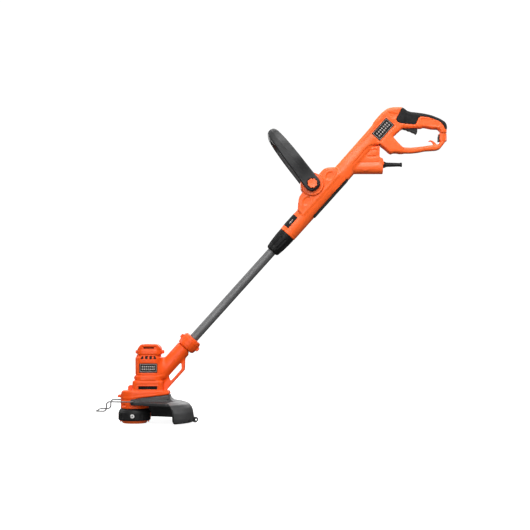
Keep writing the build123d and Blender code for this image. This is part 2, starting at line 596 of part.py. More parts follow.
def upper_parts():
    """Clamshell of the upper housing with grips, switch gear, gland and fasteners."""
    outer = upper_outer()
    grip_zone = slab(grip_region(), 30)
    core_zone = slab(
        [
            (751, 874), (761, 866.5), (771, 864.5), (790, 862.5), (810, 859.5), (830, 854.5), (849, 846.5),
            (861, 838), (866, 828), (866, 812), (850, 812), (725, 828), (720, 850), (746, 868),
        ],
        14.5,
    )
    grip = (outer & grip_zone) - core_zone
    orange = (outer - grip_zone) + (outer & grip_zone & core_zone)

    barrel_skin = ring(BARREL_R - 2, BARREL_R + 0.4, BARREL_START, 520, SHAFT_LINE)
    inlay = barrel_skin & slab([(460, 8.6), (500, 8.6), (500, 30), (460, 30)], 40, SHAFT_SIDE, radius=3)
    pad_room = slab([(531.5, -40), (673.5, -40), (673.5, PAD_SEAT), (531.5, PAD_SEAT)], 30, SHAFT_SIDE)
    pad = slab([(533, -27), (672, -27), (671, PAD_SEAT), (534, PAD_SEAT)], 16, SHAFT_SIDE, edge=1)
    badge_place = Plane(origin=(BADGE[0], 0, BADGE[1]), x_dir=(SHAFT_COS, 0, SHAFT_SIN), z_dir=(0, -1, 0))
    badge = badge_place * Pos(0, 0, 19.2) * Box(60, 30, 2)
    badge_room = badge_place * Pos(0, 0, 22) * Box(60.2, 30.2, 7.6)
    clip_side = [
        (846.6, 785.5), (849.4, 784.5), (851.4, 790), (851.4, 798), (853.6, 804), (849, 804.5), (846.6, 798),
    ]
    clip = slab(clip_side, 9)
    pivot_tube = across(*PIVOT, -39, 39, PIVOT_TUBE_R, 6.6) + across(*PIVOT, -14, 14, 6.6)
    switch = block((756, 782), (-8, 8), (842, 859)) - block((767.4, 774.6), (-3.6, 3.6), (840, 853))
    capacitor = block((654, 680), (-8, 8), (796, 813))
    cord_line = Plane(origin=(GLAND_X, 0, GLAND_Z), x_dir=(0, 1, 0), z_dir=(1, 0, 0))
    gland = ring(LEAD_R + 0.1, 9.5, -6, 2, cord_line)
    gland += turned([(LEAD_R + 0.1, 2), (9.5, 2), (6.6, 8), (LEAD_R + 0.1, 8)], cord_line)
    boot = turned([(0, 8.05), (6.5, 8.05), (5.2, 47), (0, 47)], cord_line)
    socket = ring(0, 6.1, 47.05, 52, cord_line) - ring(0, 4.4, 48, 60, cord_line)
    pins = [cord_line * ring(0, 0.8, 48, 51.4, Plane(origin=(y, 0, 0))) for y in (-2, 2)]
    trigger_spring = across(*TRIGGER_PIVOT, 8.6, 9.4, 4.4, 2.3) + block((747, 756), (8.6, 9.4), (831.9, 833))
    button_springs = []
    for side in (-1, 1):
        place = Plane(origin=(PIVOT[0], side * 15.2, PIVOT[1]), x_dir=(1, 0, 0), z_dir=(0, side, 0))
        button_springs.append(coil(4.6, 0.6, 3, 11.7, place))

    screws = [
        (*on_shaft(522, -18.5), 13, 20), (*on_shaft(700, -18.5), 13, 22), (*on_shaft(540, 36), 24, 36),
        (*on_shaft(660, 33), 24, 36), (700, 858, 17, 26), (737, 762, 17, 22), (832, 766.5, 9.5, 16),
        (808, 838, 14, 22), (672, 752, 14, 21),
    ]
    rooms = [
        upper_hollow(screws), inlay, pad_room, badge_room, clip, capacitor,
        ring(0, TUBE_R + 1.3, BARREL_START - 5, TUBE_END + TUBE_TRAVEL + 8, SHAFT_LINE),
        ring(0, 17.45, BARREL_START - 5, 474.1, SHAFT_LINE),
        across(*PIVOT, -60, 60, PIVOT_TUBE_R),
        block((741, 796), (-9.6, 9.6), (812, 838)),
        block((755.9, 782.1), (-8.1, 8.1), (837, 859.1)),
        across(*TRIGGER_PIVOT, -12, 12, 2.05),
        along_x(GLAND_Z, GLAND_X - 6.1, GLAND_X + 20, 9.6),
        lead_route(LEAD_R + 1),
    ]
    rooms += [cross_screw_room(*screw) for screw in screws]
    left, right = halves(orange, rooms)
    return {
        "housing_left": left,
        "housing_right": right,
        "soft_grip": grip,
        "lock_inlay": inlay,
        "underside_pad": pad,
        "rear_badge": badge,
        "handle_clip": clip,
        "bail_pivot_tube": pivot_tube,
        "bail_button_springs": Compound(button_springs),
        "switch_body": switch,
        "capacitor": capacitor,
        "supply_lead": lead_route(LEAD_R) - boot,
        "cord_gland": gland,
        "cord_boot": boot,
        "inlet_socket": socket,
        "inlet_pins": Compound(pins),
        "trigger_pin": across(*TRIGGER_PIVOT, -12, 12, 2),
        "trigger_spring": trigger_spring,
        "housing_screws": Compound([cross_screw(*screw) for screw in screws]),
    }


def control_parts():
    """Trigger, switch plunger, bail handle and its two release buttons."""
    trigger = slab(
        [
            (745.4, 821), (749, 819.8), (760.5, 815), (770.5, 812), (780.5, 807), (784.5, 804),
            (788.5, 807), (789.5, 818), (789, 829), (786, 831.6), (752, 831.6), (746, 829.5),
        ],
        8,
        edge=1,
    )
    trigger -= across(*TRIGGER_PIVOT, -20, 20, 2.06)
    plunger = block((768, 774), (-3, 3), (832.3, 848.5))

    side = slab(
        [
            (0, 22), (60, 21), (110, 20), (147, 18), (177, 15.5), (188, 11), (BAIL_LENGTH, 4),
            (BAIL_LENGTH, -4), (188, -11), (177, -15.5), (147, -18), (110, -20), (60, -21), (0, -22),
        ],
        80,
        BAIL_SIDE,
    )
    side += across(*PIVOT, -80, 80, 22)
    outer, inner = HUB_HALF + BAIL_GAP + LEG_THICKNESS, HUB_HALF + BAIL_GAP
    frame = [
        (-23, outer), (30, outer), (76, outer + 12), (150, outer + 12), (182, outer + 2),
        (BAIL_LENGTH, outer - 14),
    ]
    hole = [(-40, inner), (33, inner), (80, inner + 12), (146, inner + 12), (163, inner - 6)]
    solid = extrude(BAIL_FRONT * region(frame + [(s, -y) for s, y in reversed(frame)]), amount=40, both=True)
    solid -= extrude(BAIL_FRONT * region(hole + [(s, -y) for s, y in reversed(hole)]), amount=60, both=True)
    bail = solid & side
    bail -= across(*PIVOT, -60, 60, PIVOT_TUBE_R + 0.06)
    parts = {"trigger": trigger, "switch_plunger": plunger}
    for name, side_sign in (("bail_button_left", -1), ("bail_button_right", 1)):
        low, high = sorted((side_sign * 39.4, side_sign * 60))
        bail -= across(*PIVOT, low, high, BUTTON_R + 0.7)
        low, high = sorted((side_sign * 44, side_sign * 50.5))
        button = chamfer(across(*PIVOT, low, high, BUTTON_R).edges(), 1)
        for k in range(12):
            x = PIVOT[0] + BUTTON_R * cos(radians(30 * k))
            z = PIVOT[1] + BUTTON_R * sin(radians(30 * k))
            button -= across(x, z, low - 1, high + 1, 1.2)
        low, high = sorted((side_sign * 28, side_sign * 44.5))
        parts[name] = button + across(*PIVOT, low, high, 6.3)
    parts["bail_handle"] = bail
    return parts


os.makedirs("parts", exist_ok=True)
parts = {
    **spool_parts(),
    **cap_parts(),
    **motor_parts(),
    **head_parts(),
    **guard_parts(),
    **tube_parts(),
    **upper_parts(),
    **control_parts(),
}
for name, shape in parts.items():
    export_step(shape, f"parts/{name}.step")
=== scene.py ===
import json
from math import atan2, cos, degrees, pi, radians, sin
import bpy
import numpy as np
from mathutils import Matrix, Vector


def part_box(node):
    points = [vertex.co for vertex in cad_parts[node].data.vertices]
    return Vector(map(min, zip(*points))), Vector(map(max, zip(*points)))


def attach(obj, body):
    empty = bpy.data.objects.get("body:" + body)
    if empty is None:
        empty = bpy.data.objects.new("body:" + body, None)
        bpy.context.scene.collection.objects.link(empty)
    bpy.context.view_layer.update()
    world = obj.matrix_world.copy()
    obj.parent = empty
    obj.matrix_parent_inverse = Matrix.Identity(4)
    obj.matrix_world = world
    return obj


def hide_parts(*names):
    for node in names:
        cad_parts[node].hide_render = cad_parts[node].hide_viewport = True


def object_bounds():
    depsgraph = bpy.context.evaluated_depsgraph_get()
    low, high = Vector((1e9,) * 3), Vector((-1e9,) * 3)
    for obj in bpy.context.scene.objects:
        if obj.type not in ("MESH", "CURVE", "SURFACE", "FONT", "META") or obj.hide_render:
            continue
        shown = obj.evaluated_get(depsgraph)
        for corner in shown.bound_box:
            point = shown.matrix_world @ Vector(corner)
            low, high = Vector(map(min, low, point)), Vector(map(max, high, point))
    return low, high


# Looks of the electric string trimmer. Shapes are worked out in millimetres as distance fields (negative
# inside), turned into quad meshes, and placed in the frame in metres.

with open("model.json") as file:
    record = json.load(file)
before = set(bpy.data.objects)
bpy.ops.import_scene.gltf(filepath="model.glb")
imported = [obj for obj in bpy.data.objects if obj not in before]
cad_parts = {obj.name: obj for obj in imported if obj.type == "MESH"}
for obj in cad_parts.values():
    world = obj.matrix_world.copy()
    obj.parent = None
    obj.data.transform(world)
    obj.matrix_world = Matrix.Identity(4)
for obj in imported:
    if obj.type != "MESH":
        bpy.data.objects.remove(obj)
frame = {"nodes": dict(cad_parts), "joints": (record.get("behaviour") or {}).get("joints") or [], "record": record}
cad_low, cad_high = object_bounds()

MM = 0.001
JOINTS = {joint["name"]: joint for joint in frame["joints"]}
SHAFT_AXIS = Vector(JOINTS["tube_slide"]["axis"])
SHAFT_ANGLE = degrees(atan2(SHAFT_AXIS.z, SHAFT_AXIS.x))
BAIL_ANGLE = 127.9  # the bail handle's tilt from +X in the side view, in degrees
HOUSING_STEP = 1.42  # grid steps of the large shells and of the collars
FINE_STEP = 0.7
SEAM = 0.15  # half of the gap between two shells
SIDES = ((-1, "left"), (1, "right"))
SCREW_WELL_R = 3.9
SCREW_HEAD_DEPTH = 2.7


def middle(node):
    """X and Z of the centre of a CAD node's box, in millimetres."""
    low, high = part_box(node)
    return (low[0] + high[0]) / 2 / MM, (low[2] + high[2]) / 2 / MM


TUBE_MIDDLE = 236.0  # distance along the shaft of the lower tube's centre
SHAFT_FOOT = (
    middle("lower_tube")[0] - TUBE_MIDDLE * SHAFT_AXIS.x,
    middle("lower_tube")[1] - TUBE_MIDDLE * SHAFT_AXIS.z,
)
PIVOT = middle("bail_pivot_tube")
PIVOT_BORE_R = 9.1  # bore for the bail's pivot tube
MOTOR_X = middle("motor_shaft")[0]
EYELET_Z = middle("line_eyelets")[1]


# ---------------------------------------------------------------- distance fields
class Space:
    """A box of space sampled on a grid, which may be tilted about Y at a foot point (X, Z)."""

    def __init__(self, low, high, step, foot=(0.0, 0.0), tilt=0.0):
        ticks = [np.arange(a - 2 * step, b + 3 * step, step, dtype=np.float32) for a, b in zip(low, high)]
        self.step = step
        self.low = np.array([t[0] for t in ticks])
        self.x = ticks[0][:, None, None]
        self.y = ticks[1][None, :, None]
        self.z = ticks[2][None, None, :]
        self.axes = (self.x, self.y, self.z)
        self.foot = foot
        self.tilt = radians(tilt)

    def world(self, points):
        """Grid points, in millimetres, as frame points."""
        x, y, z = points.T
        across = self.foot[0] + x * cos(self.tilt) - z * sin(self.tilt)
        up = self.foot[1] + x * sin(self.tilt) + z * cos(self.tilt)
        return np.stack([across, y, up], 1)


def shaft(x, z):
    """Distance along the shaft and height off it of a point of the side view."""
    c, s = cos(radians(SHAFT_ANGLE)), sin(radians(SHAFT_ANGLE))
    dx, dz = x - SHAFT_FOOT[0], z - SHAFT_FOOT[1]
    return dx * c + dz * s, dz * c - dx * s


def on_shaft(s, t):
    """X and Z of a point given by its distance along the shaft and its height off it."""
    c, n = cos(radians(SHAFT_ANGLE)), sin(radians(SHAFT_ANGLE))
    return SHAFT_FOOT[0] + s * c - t * n, SHAFT_FOOT[1] + s * n + t * c


def softened(points, radius):
    """An outline with each corner rounded off."""
    result = []
    for k, corner in enumerate(points):
        corner = Vector(corner)
        back = Vector(points[k - 1]) - corner
        forth = Vector(points[(k + 1) % len(points)]) - corner
        start = corner + back.normalized() * min(radius, 0.45 * back.length)
        end = corner + forth.normalized() * min(radius, 0.45 * forth.length)
        for f in (0, 0.25, 0.5, 0.75, 1):
            point = start * (1 - f) ** 2 + corner * 2 * f * (1 - f) + end * f * f
            result.append((point.x, point.y))
    return result


def polygon(points, u, v):
    """Signed distance from the points (u, v) to a closed outline."""
    nearest, inside = None, None
    for (ax, ay), (bx, by) in zip(points, points[1:] + points[:1]):
        ex, ey = bx - ax, by - ay
        share = np.clip(((u - ax) * ex + (v - ay) * ey) / (ex * ex + ey * ey), 0, 1)
        gap = (u - ax - ex * share) ** 2 + (v - ay - ey * share) ** 2
        crossed = ((ay <= v) != (by <= v)) & (u < ax + (v - ay) * ex / (ey or 1.0))
        nearest = gap if nearest is None else np.minimum(nearest, gap)
        inside = crossed if inside is None else inside ^ crossed
    return np.where(inside, -1, 1) * np.sqrt(nearest)


def outline(points, u, v, radius=3.0):
    """Signed distance to a closed outline with rounded corners."""
    return polygon(softened(points, radius), u, v)


def line(points, u, v):
    """Distance from the points (u, v) to an open line."""
    nearest = None
    for (ax, ay), (bx, by) in zip(points, points[1:]):
        ex, ey = bx - ax, by - ay
        share = np.clip(((u - ax) * ex + (v - ay) * ey) / (ex * ex + ey * ey), 0, 1)
        gap = np.hypot(u - ax - ex * share, v - ay - ey * share)
        nearest = gap if nearest is None else np.minimum(nearest, gap)
    return nearest


def both(a, b, r=1.0):
    """What two shapes share, with an edge rounded to r."""
    return np.minimum(np.maximum(a, b), -r) + np.hypot(np.maximum(a + r, 0), np.maximum(b + r, 0))


def join(a, b, r=1.0):
    """Two shapes together, with a fillet of r between them."""
    return -both(-a, -b, r)


def cut(a, b, r=0.6):
    """One shape with another taken out of it."""
    return both(a, -b, r)


def between(value, low, high):
    """Signed distance to the slab between two values."""
    return np.maximum(low - value, value - high)


def box2(u, v, half_u, half_v, r):
    """Signed distance to a rectangle with rounded corners, centred on (0, 0)."""
    a, b = np.abs(u) - half_u + r, np.abs(v) - half_v + r
    return np.minimum(np.maximum(a, b), 0) + np.hypot(np.maximum(a, 0), np.maximum(b, 0)) - r


def smooth(share):
    """0 below 0, 1 above 1, and an even slope between."""
    share = np.clip(share, 0, 1)
    return share * share * (3 - 2 * share)


def relief(field, area, depth, soft=1.6):
    """The surface sunk by a depth over an area (raised where the depth is negative), with soft sides."""
    return field + depth * smooth(0.5 - area / soft)


def groove(field, distance, depth, width):
    """The surface with a groove along a line."""
    return field + depth * np.exp(-((distance / width) ** 2))


def screw_wells(shell, screws, space):
    """A shell with a sunk well for each screw, given by X, Z and the height of its head along Y."""
    for screw_x, screw_z, head in screws:
        well = np.hypot(space.x - screw_x, space.z - screw_z) - SCREW_WELL_R
        shell = cut(shell, both(well, head - SCREW_HEAD_DEPTH - space.y), 0.5)
    return shell


def lathe(points, r, h, step=0.25):
    """Signed distance to a solid of revolution, from the outline of its half section in (r, h)."""
    r_ticks = np.arange(0, float(r.max()) + 2 * step, step, dtype=np.float32)
    h_ticks = np.arange(float(h.min()) - step, float(h.max()) + 2 * step, step, dtype=np.float32)
    table = polygon(points, r_ticks[:, None], h_ticks[None, :]).astype(np.float32)
    i, j = r / step, (h - h_ticks[0]) / step
    i0, j0 = i.astype(int), j.astype(int)
    fi, fj = i - i0, j - j0
    low = table[i0, j0] * (1 - fi) + table[i0 + 1, j0] * fi
    high = table[i0, j0 + 1] * (1 - fi) + table[i0 + 1, j0 + 1] * fi
    return low * (1 - fj) + high * fj


def surface(field, space):
    """Points and quads round the zero level of a field, with one point to each cell that it crosses."""
    keys, crossings, flips = [], [], []
    ring = ((0, 0), (-1, 0), (-1, -1), (0, -1))
    for axis, others, turned in ((0, (1, 2), False), (1, (0, 2), True), (2, (0, 1), False)):
        values = np.moveaxis(field, axis, 0)
        near, far = values[:-1], values[1:]
        where = np.nonzero((near < 0) != (far < 0))
        index = np.empty((len(where[0]), 3), np.int64)
        index[:, [axis, *others]] = np.stack(where, 1)
        crossing = index.astype(float)
        crossing[:, axis] += near[where] / (near[where] - far[where])
        corners = []
        for step in ring:
            cell = index.copy()
            cell[:, others[0]] += step[0]
            cell[:, others[1]] += step[1]
            corners.append(np.ravel_multi_index(cell.T, field.shape))
        keys.append(np.stack(corners, 1))
        crossings.append(crossing)
        flips.append((near[where] < 0) == turned)
    keys, crossings, flips = np.concatenate(keys), np.concatenate(crossings), np.concatenate(flips)
    _, quads = np.unique(keys, return_inverse=True)
    quads = quads.reshape(-1, 4)
    weight = np.bincount(quads.ravel())
    spread = np.repeat(crossings, 4, 0)
    points = np.stack([np.bincount(quads.ravel(), spread[:, k]) / weight for k in range(3)], 1)
    quads[flips] = quads[flips][:, ::-1]
    return space.world(space.low + points * space.step), quads


def mesh_object(name, points, quads):
    """A smooth-shaded mesh object from points in millimetres and quads."""
    mesh = bpy.data.meshes.new(name)
    mesh.vertices.add(len(points))
    mesh.vertices.foreach_set("co", (points * MM).astype(np.float32).ravel())
    mesh.loops.add(quads.size)
    mesh.loops.foreach_set("vertex_index", quads.astype(np.int32).ravel())
    mesh.polygons.add(len(quads))
    mesh.polygons.foreach_set("loop_start", np.arange(0, quads.size, 4, dtype=np.int32))
    mesh.update(calc_edges=True)
    mesh.shade_smooth()
    made = bpy.data.objects.new(name, mesh)
    bpy.context.scene.collection.objects.link(made)
    return made


def piece(name, space, field, body, slot, replaces=(), mirrored=False, finish=None):
    """A moulded piece from its field, riding on a body and standing for CAD nodes."""
    points, quads = surface(np.ascontiguousarray(field), space)
    if mirrored:
        points = points * np.array([1, -1, 1])
        quads = quads[:, ::-1]
    made = mesh_object(name, points, quads)
    made.data.materials.append(material(finish or slot))
    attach(made, body)
    if replaces:
        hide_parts(*replaces)
    return made


def head_moulding(name, space, field, node, body="head", mirrored=False):
    """A piece of the cutting head in a darker, deeper copy of the housing orange, which is painted shade."""
    piece(name, space, field, body, "orange_plastic", [node], mirrored, "shaded_head_orange")


# ---------------------------------------------------------------- materials
class Shader:
    """A material's node tree with its Principled shader and object coordinates."""

    def __init__(self, name):
        self.material = bpy.data.materials.new(name)
        self.material.use_nodes = True
        self.nodes = self.material.node_tree.nodes
        self.links = self.material.node_tree.links
        self.principled = self.nodes["Principled BSDF"]
        self.place = self.nodes.new("ShaderNodeTexCoord").outputs["Object"]

    def add(self, kind, **inputs):
        """A node with its inputs set, or linked where an input is given an output socket."""
        node = self.nodes.new(kind)
        for key, value in inputs.items():
            self.put(node.inputs[key.replace("_", " ")], value)
        return node

    def put(self, socket, value):
        if isinstance(value, bpy.types.NodeSocket):
            self.links.new(value, socket)
        else:
            socket.default_value = value

    def noise(self, scale, detail=3.0, roughness=0.55, stretch=None, angle=0.0):
        """Noise at a scale per metre, drawn out along a direction of the side view if stretched."""
        where = self.place
        if stretch:
            mapping = self.add("ShaderNodeMapping", Vector=self.place)
            mapping.inputs["Rotation"].default_value = (0, radians(angle), 0)
            mapping.inputs["Scale"].default_value = (1 / stretch, 1, 1)
            where = mapping.outputs["Vector"]
        node = self.add("ShaderNodeTexNoise", Vector=where, Scale=scale, Detail=detail, Roughness=roughness)
        return node.outputs["Fac"]

    def between(self, fac, low, high, start=0.35, stop=0.65):
        """A number that runs from low to high as fac runs from start to stop."""
        node = self.add("ShaderNodeMapRange", Value=fac)
        for key, value in (("From Min", start), ("From Max", stop), ("To Min", low), ("To Max", high)):
            node.inputs[key].default_value = value
        return node.outputs["Result"]

    def tint(self, fac, a, b):
        """A colour mixed from two, each a colour or a colour socket."""
        node = self.nodes.new("ShaderNodeMix")
        node.data_type = "RGBA"
        sockets = [s for s in node.inputs if s.type == "RGBA"]
        for socket, value in zip(sockets, (a, b)):
            self.put(socket, value if isinstance(value, bpy.types.NodeSocket) else (*value, 1))
        self.put(node.inputs["Factor"], fac)
        return next(s for s in node.outputs if s.type == "RGBA")

    def edges(self, start=0.52, stop=0.60):
        """1 on worn outer edges and 0 elsewhere."""
        return self.between(self.nodes.new("ShaderNodeNewGeometry").outputs["Pointiness"], 0, 1, start, stop)

    def bump(self, height, strength, distance=0.0004, below=None):
        node = self.add("ShaderNodeBump", Height=height, Strength=strength, Distance=distance)
        if below is not None:
            self.put(node.inputs["Normal"], below)
        return node.outputs["Normal"]

    def finish(self, colour, roughness, normal, **constants):
        for key, value in (("Base Color", colour), ("Roughness", roughness), ("Normal", normal)):
            self.put(self.principled.inputs[key], value)
        for key, value in constants.items():
            self.principled.inputs[key.replace("_", " ")].default_value = value
        return self.material


def plastic(name, colour, spread=0.12, rough=(0.3, 0.4), grain=1500, depth=0.05, wear=0.25, **constants):
    """Moulded plastic: colour drift, fine speckle, spark-eroded grain, rubbed edges and painted shade in hollows.
    """
    sh = Shader(name)
    darker = tuple(c * (1 - spread) for c in colour)
    lighter = tuple(min(1.0, c * (1 + spread) + 0.006) for c in colour)
    base = sh.tint(sh.between(sh.noise(7, 4), 0, 1), darker, lighter)
    base = sh.tint(sh.between(sh.noise(900, 2), 0, 0.35), base, darker)
    rubbed = tuple(c + (0.5 - c) * 0.25 for c in colour)
    rub = sh.add("ShaderNodeMath")
    rub.operation = "MULTIPLY"
    sh.put(rub.inputs[0], sh.edges())
    sh.put(rub.inputs[1], sh.between(sh.noise(120, 5, 0.7), 0, wear, 0.4, 0.7))
    base = sh.tint(rub.outputs[0], base, rubbed)
    # painted shade: hollows darkened to 0.62 of the colour
    hollow_shade = sh.edges(0.47, 0.40)
    base = sh.tint(hollow_shade, base, tuple(c * 0.62 for c in colour))
    roughness = sh.between(sh.noise(60, 5, 0.65), *rough)
    wavy = sh.bump(sh.noise(35, 2), 0.05, 0.002)
    normal = sh.bump(sh.noise(grain, 2), depth, 0.0003, wavy)
    return sh.finish(base, roughness, normal, **constants)


def rubber(name, colour, pattern=330, **constants):
    """Soft-touch rubber with a fine pebbled tread and dull, slightly dusty colour."""
    sh = Shader(name)
    lighter = tuple(c * 1.5 + 0.004 for c in colour)
    base = sh.tint(sh.between(sh.noise(14, 5), 0, 1), colour, lighter)
    base = sh.tint(sh.between(sh.edges(), 0, 0.35, 0, 1), base, tuple(c + 0.03 for c in colour))
    cells = sh.add("ShaderNodeTexVoronoi", Vector=sh.place, Scale=pattern)
    pebbles = sh.bump(cells.outputs["Distance"], 0.35, 0.0005)
    normal = sh.bump(sh.noise(2200, 2), 0.15, 0.0002, pebbles)
    return sh.finish(base, sh.between(sh.noise(80, 4), 0.5, 0.68), normal, **constants)


def metal(name, colour, rough, stretch=None, angle=0.0, scale=900, depth=0.06, metallic=1.0):
    """Metal, bare or lacquered, with fine drawn or ground lines, patchy polish and faint stains."""
    sh = Shader(name)
    darker = tuple(c * 0.72 for c in colour)
    base = sh.tint(sh.between(sh.noise(9, 5, 0.6), 0, 1), darker, colour)
    grain = sh.noise(scale, 4, 0.6, stretch, angle)
    base = sh.tint(sh.between(grain, 0, 0.4), base, darker)
    roughness = sh.between(sh.noise(45, 5, 0.7, stretch, angle), *rough)
    return sh.finish(base, roughness, sh.bump(grain, depth, 0.0003), Metallic=metallic)


def wound(name, colour, lines=2200, **constants):
    """Wound wire or line: close turns seen as fine ridges, with uneven lacquer."""
    sh = Shader(name)
    wave = sh.add("ShaderNodeTexWave", Vector=sh.place, Scale=lines, Distortion=1.5, Detail=1.0)
    wave.bands_direction = "Z"
    ridge = wave.outputs["Fac"]
    base = sh.tint(sh.between(ridge, 0, 0.5, 0, 1), colour, tuple(c * 0.35 for c in colour))
    base = sh.tint(sh.between(sh.noise(60, 4), 0, 0.4), base, tuple(min(1, c * 1.4) for c in colour))
    return sh.finish(base, sh.between(sh.noise(90, 3), 0.28, 0.45), sh.bump(ridge, 0.5, 0.0005), **constants)


ORANGE = (0.93, 0.125, 0.018)
# painted shade: the housing orange made darker and deeper for the cutting head
SHADED_HEAD_ORANGE = (0.8, 0.076, 0.004)
DARK = (0.006, 0.0061, 0.0063)
GREY = (0.018, 0.0182, 0.019)
BUILDERS = {
    "orange_plastic": lambda n: plastic(n, ORANGE, 0.06, (0.3, 0.4), 1600, 0.03, Specular_IOR_Level=0.36),
    # painted shade: the cutting head's darker copy of the orange, with a weaker highlight
    "shaded_head_orange": lambda n: plastic(n, SHADED_HEAD_ORANGE, 0.06, (0.34, 0.44), 1600, 0.03, Specular_IOR_Level=0.24),
    "button_plastic": lambda n: plastic(n, (0.95, 0.15, 0.03), 0.06, (0.34, 0.44), 1500, 0.06, 0.3),
    "black_plastic": lambda n: plastic(n, DARK, 0.25, (0.38, 0.52), 1400, 0.12, 0.2, Specular_IOR_Level=0.16),
    "guard_plastic": lambda n: plastic(n, GREY, 0.2, (0.4, 0.52), 1300, 0.1, 0.22, Specular_IOR_Level=0.34),
    "bail_plastic": lambda n: plastic(n, GREY, 0.25, (0.36, 0.48), 1500, 0.12, 0.2, Specular_IOR_Level=0.42),
    "soft_rubber": lambda n: rubber(n, DARK, 420, Specular_IOR_Level=0.16),
    "cord_rubber": lambda n: rubber(n, DARK, 700, Specular_IOR_Level=0.3),
    "trigger_plastic": lambda n: plastic(n, GREY, 0.2, (0.42, 0.55), 1500, 0.15, 0.3, Specular_IOR_Level=0.2),
    "badge_plate": lambda n: plastic(n, (0.42, 0.37, 0.35), 0.12, (0.3, 0.42), 1800, 0.06, 0.2),
    "tube_metal": lambda n: metal(n, (0.155, 0.155, 0.157), (0.42, 0.55), 14, -SHAFT_ANGLE, 1300, 0.05, 0.35),
    "wire_steel": lambda n: metal(n, (0.15, 0.15, 0.15), (0.38, 0.5), None, 0, 1100, 0.08, 0.6),
    "bright_steel": lambda n: metal(n, (0.56, 0.55, 0.54), (0.38, 0.5), None, 0, 1300, 0.05, 0.5),
    "screw_steel": lambda n: metal(n, (0.35, 0.345, 0.33), (0.28, 0.42), None, 0, 1500, 0.08),
    "bearing_steel": lambda n: metal(n, (0.6, 0.6, 0.59), (0.14, 0.24), None, 0, 1600, 0.04),
    "motor_iron": lambda n: metal(n, (0.3, 0.29, 0.28), (0.4, 0.55), None, 0, 900, 0.15),
    "copper": lambda n: wound(n, (0.75, 0.3, 0.12), 1500, Metallic=0.9),
    "gear_plastic": lambda n: plastic(n, (0.62, 0.6, 0.54), 0.08, (0.4, 0.52), 1500, 0.08, 0.2),
    "gear_steel": lambda n: metal(n, (0.42, 0.41, 0.4), (0.3, 0.45), None, 0, 1200, 0.1),
    "switch_plastic": lambda n: plastic(n, (0.05, 0.052, 0.06), 0.2, (0.38, 0.5), 1500, 0.1, 0.2),
    "nylon_line": lambda n: wound(n, (0.08, 0.3, 0.09), 1300),
}
FINISHES = {}


def material(slot):
    """The procedural material of one of the record's slots, made on first use."""
    if slot not in FINISHES:
        FINISHES[slot] = BUILDERS[slot](f"{slot}_finish")
    return FINISHES[slot]


def dress_cad_nodes():
    """Every CAD node that stays in view gets the procedural material of its slot."""
    for part in frame["record"]["subparts"]:
        for place in frame["nodes"][part["node"]].material_slots:
            place.material = material(part["material_slot"])


# ---------------------------------------------------------------- upper housing
CORD_BOX_Z, CORD_Z = 711.3, 720.5  # heights of the cord box's axis and of the cord's
HUMP = [
    (513, -1), (513, 20), (527, 32), (545, 44.5), (555, 46), (650, 46.5), (660, 41), (676, 25), (668, -1),
]
SPINE = [
    on_shaft(620, 25), on_shaft(835, 27.5), (664.5, 837), (670.5, 845), (690.5, 867), (705.5, 878),
    (722, 881.5), (747, 882), (758.5, 872), (758, 836), (743.5, 818), (732.5, 808), (720.5, 798),
    (745.5, 770), (750, 752), (720.5, 753), (716.5, 750), (710.5, 752), (698.5, 763), (688, 771),
    (683.5, 774), (659, 772), (644, 762), (624, 737), on_shaft(706, -10), on_shaft(695, -24.5),
    on_shaft(620, -23),
]
TOP_BAR = [
    (740, 818), (747, 821), (790, 821.5), (801, 822), (806.5, 825), (815.5, 823), (830.5, 820),
    (845.5, 820), (851, 816), (853.5, 806), (870.5, 806), (871, 815), (872.5, 824), (870.5, 834),
    (865.5, 841), (850.5, 850), (830.5, 858), (810.5, 863), (790.5, 866), (770.5, 868), (758.5, 872),
    (740, 881),
]
LOW_BAR = [
    (735, 752), (770.5, 752), (790.5, 754), (810.5, 758), (842.5, 760), (852.5, 764), (860.5, 775),
    (868.5, 785), (871, 808), (850, 808), (848, 787), (852.5, 785), (850.5, 779), (842.5, 776),
    (820.5, 774), (800.5, 771), (770.5, 768), (750.5, 769), (744, 771.5), (735, 780),
]
HOOK = [
    (835, 774), (844, 777), (839, 783), (833, 787.5), (825.5, 790), (820, 786.5), (821.5, 784),
    (826.5, 786), (831, 782.5), (833, 778),
]
WEB = [(607, 719), (624, 737), (644, 762), (684, 774), (683, 741), (692, 737), (696, 720), (640, 700)]
GRIP_ZONE = [
    (748.5, 884), (738.5, 865), (728.5, 847), (732.5, 839), (741, 835.5), (781, 831.5), (785.5, 834),
    (789, 845), (793, 852), (799, 855), (820.5, 852), (845.5, 843), (855.5, 837), (862.5, 827),
    (866, 818), (880, 820), (880, 840), (860, 870), (800, 888),
]
GRIP_CORE = [
    (751, 874), (761, 866.5), (771, 864.5), (790, 862.5), (810, 859.5), (830, 854.5), (849, 846.5),
    (861, 838), (866, 828), (866, 812), (850, 812), (725, 828), (720, 850), (746, 868),
]
HOLLOW_HUMP = [(530, 2), (530, 18), (548, 39), (556, 41), (648, 41), (656, 37), (669, 21), (669, 2)]
HOLLOW_SPINE = [
    on_shaft(704, 20), on_shaft(832, 23), (675, 841), (694, 863), (708, 874), (726, 877), (729, 868),
    (721, 850), (727, 832), (714, 806), (713, 796), (735, 768), (738, 757), (714, 757), (700, 768),
    (676, 779), (656, 778), (637, 759), (618, 737), on_shaft(704, 0),
]
CLIP = [
    (846.6, 785.5), (849.4, 784.5), (851.4, 790), (851.4, 798), (853.6, 804), (849, 804.5), (846.6, 798),
]
BOX_GROOVE = [(606, 718), (624, 737), (644, 762), (652, 769), (659, 772), (684, 774)]
BOX_PANEL = [(645, 746), (651, 741), (677, 743), (677, 757), (674, 760.5), (661, 760.5), (655, 757)]
CROWN_RECESS = [(707, 865), (735, 862), (729, 853), (719, 849)]
FINGER_PANEL = [
    (799, 847), (806, 849.5), (830, 846.5), (846, 839), (854, 830), (849, 826), (812, 829), (803, 832),
]
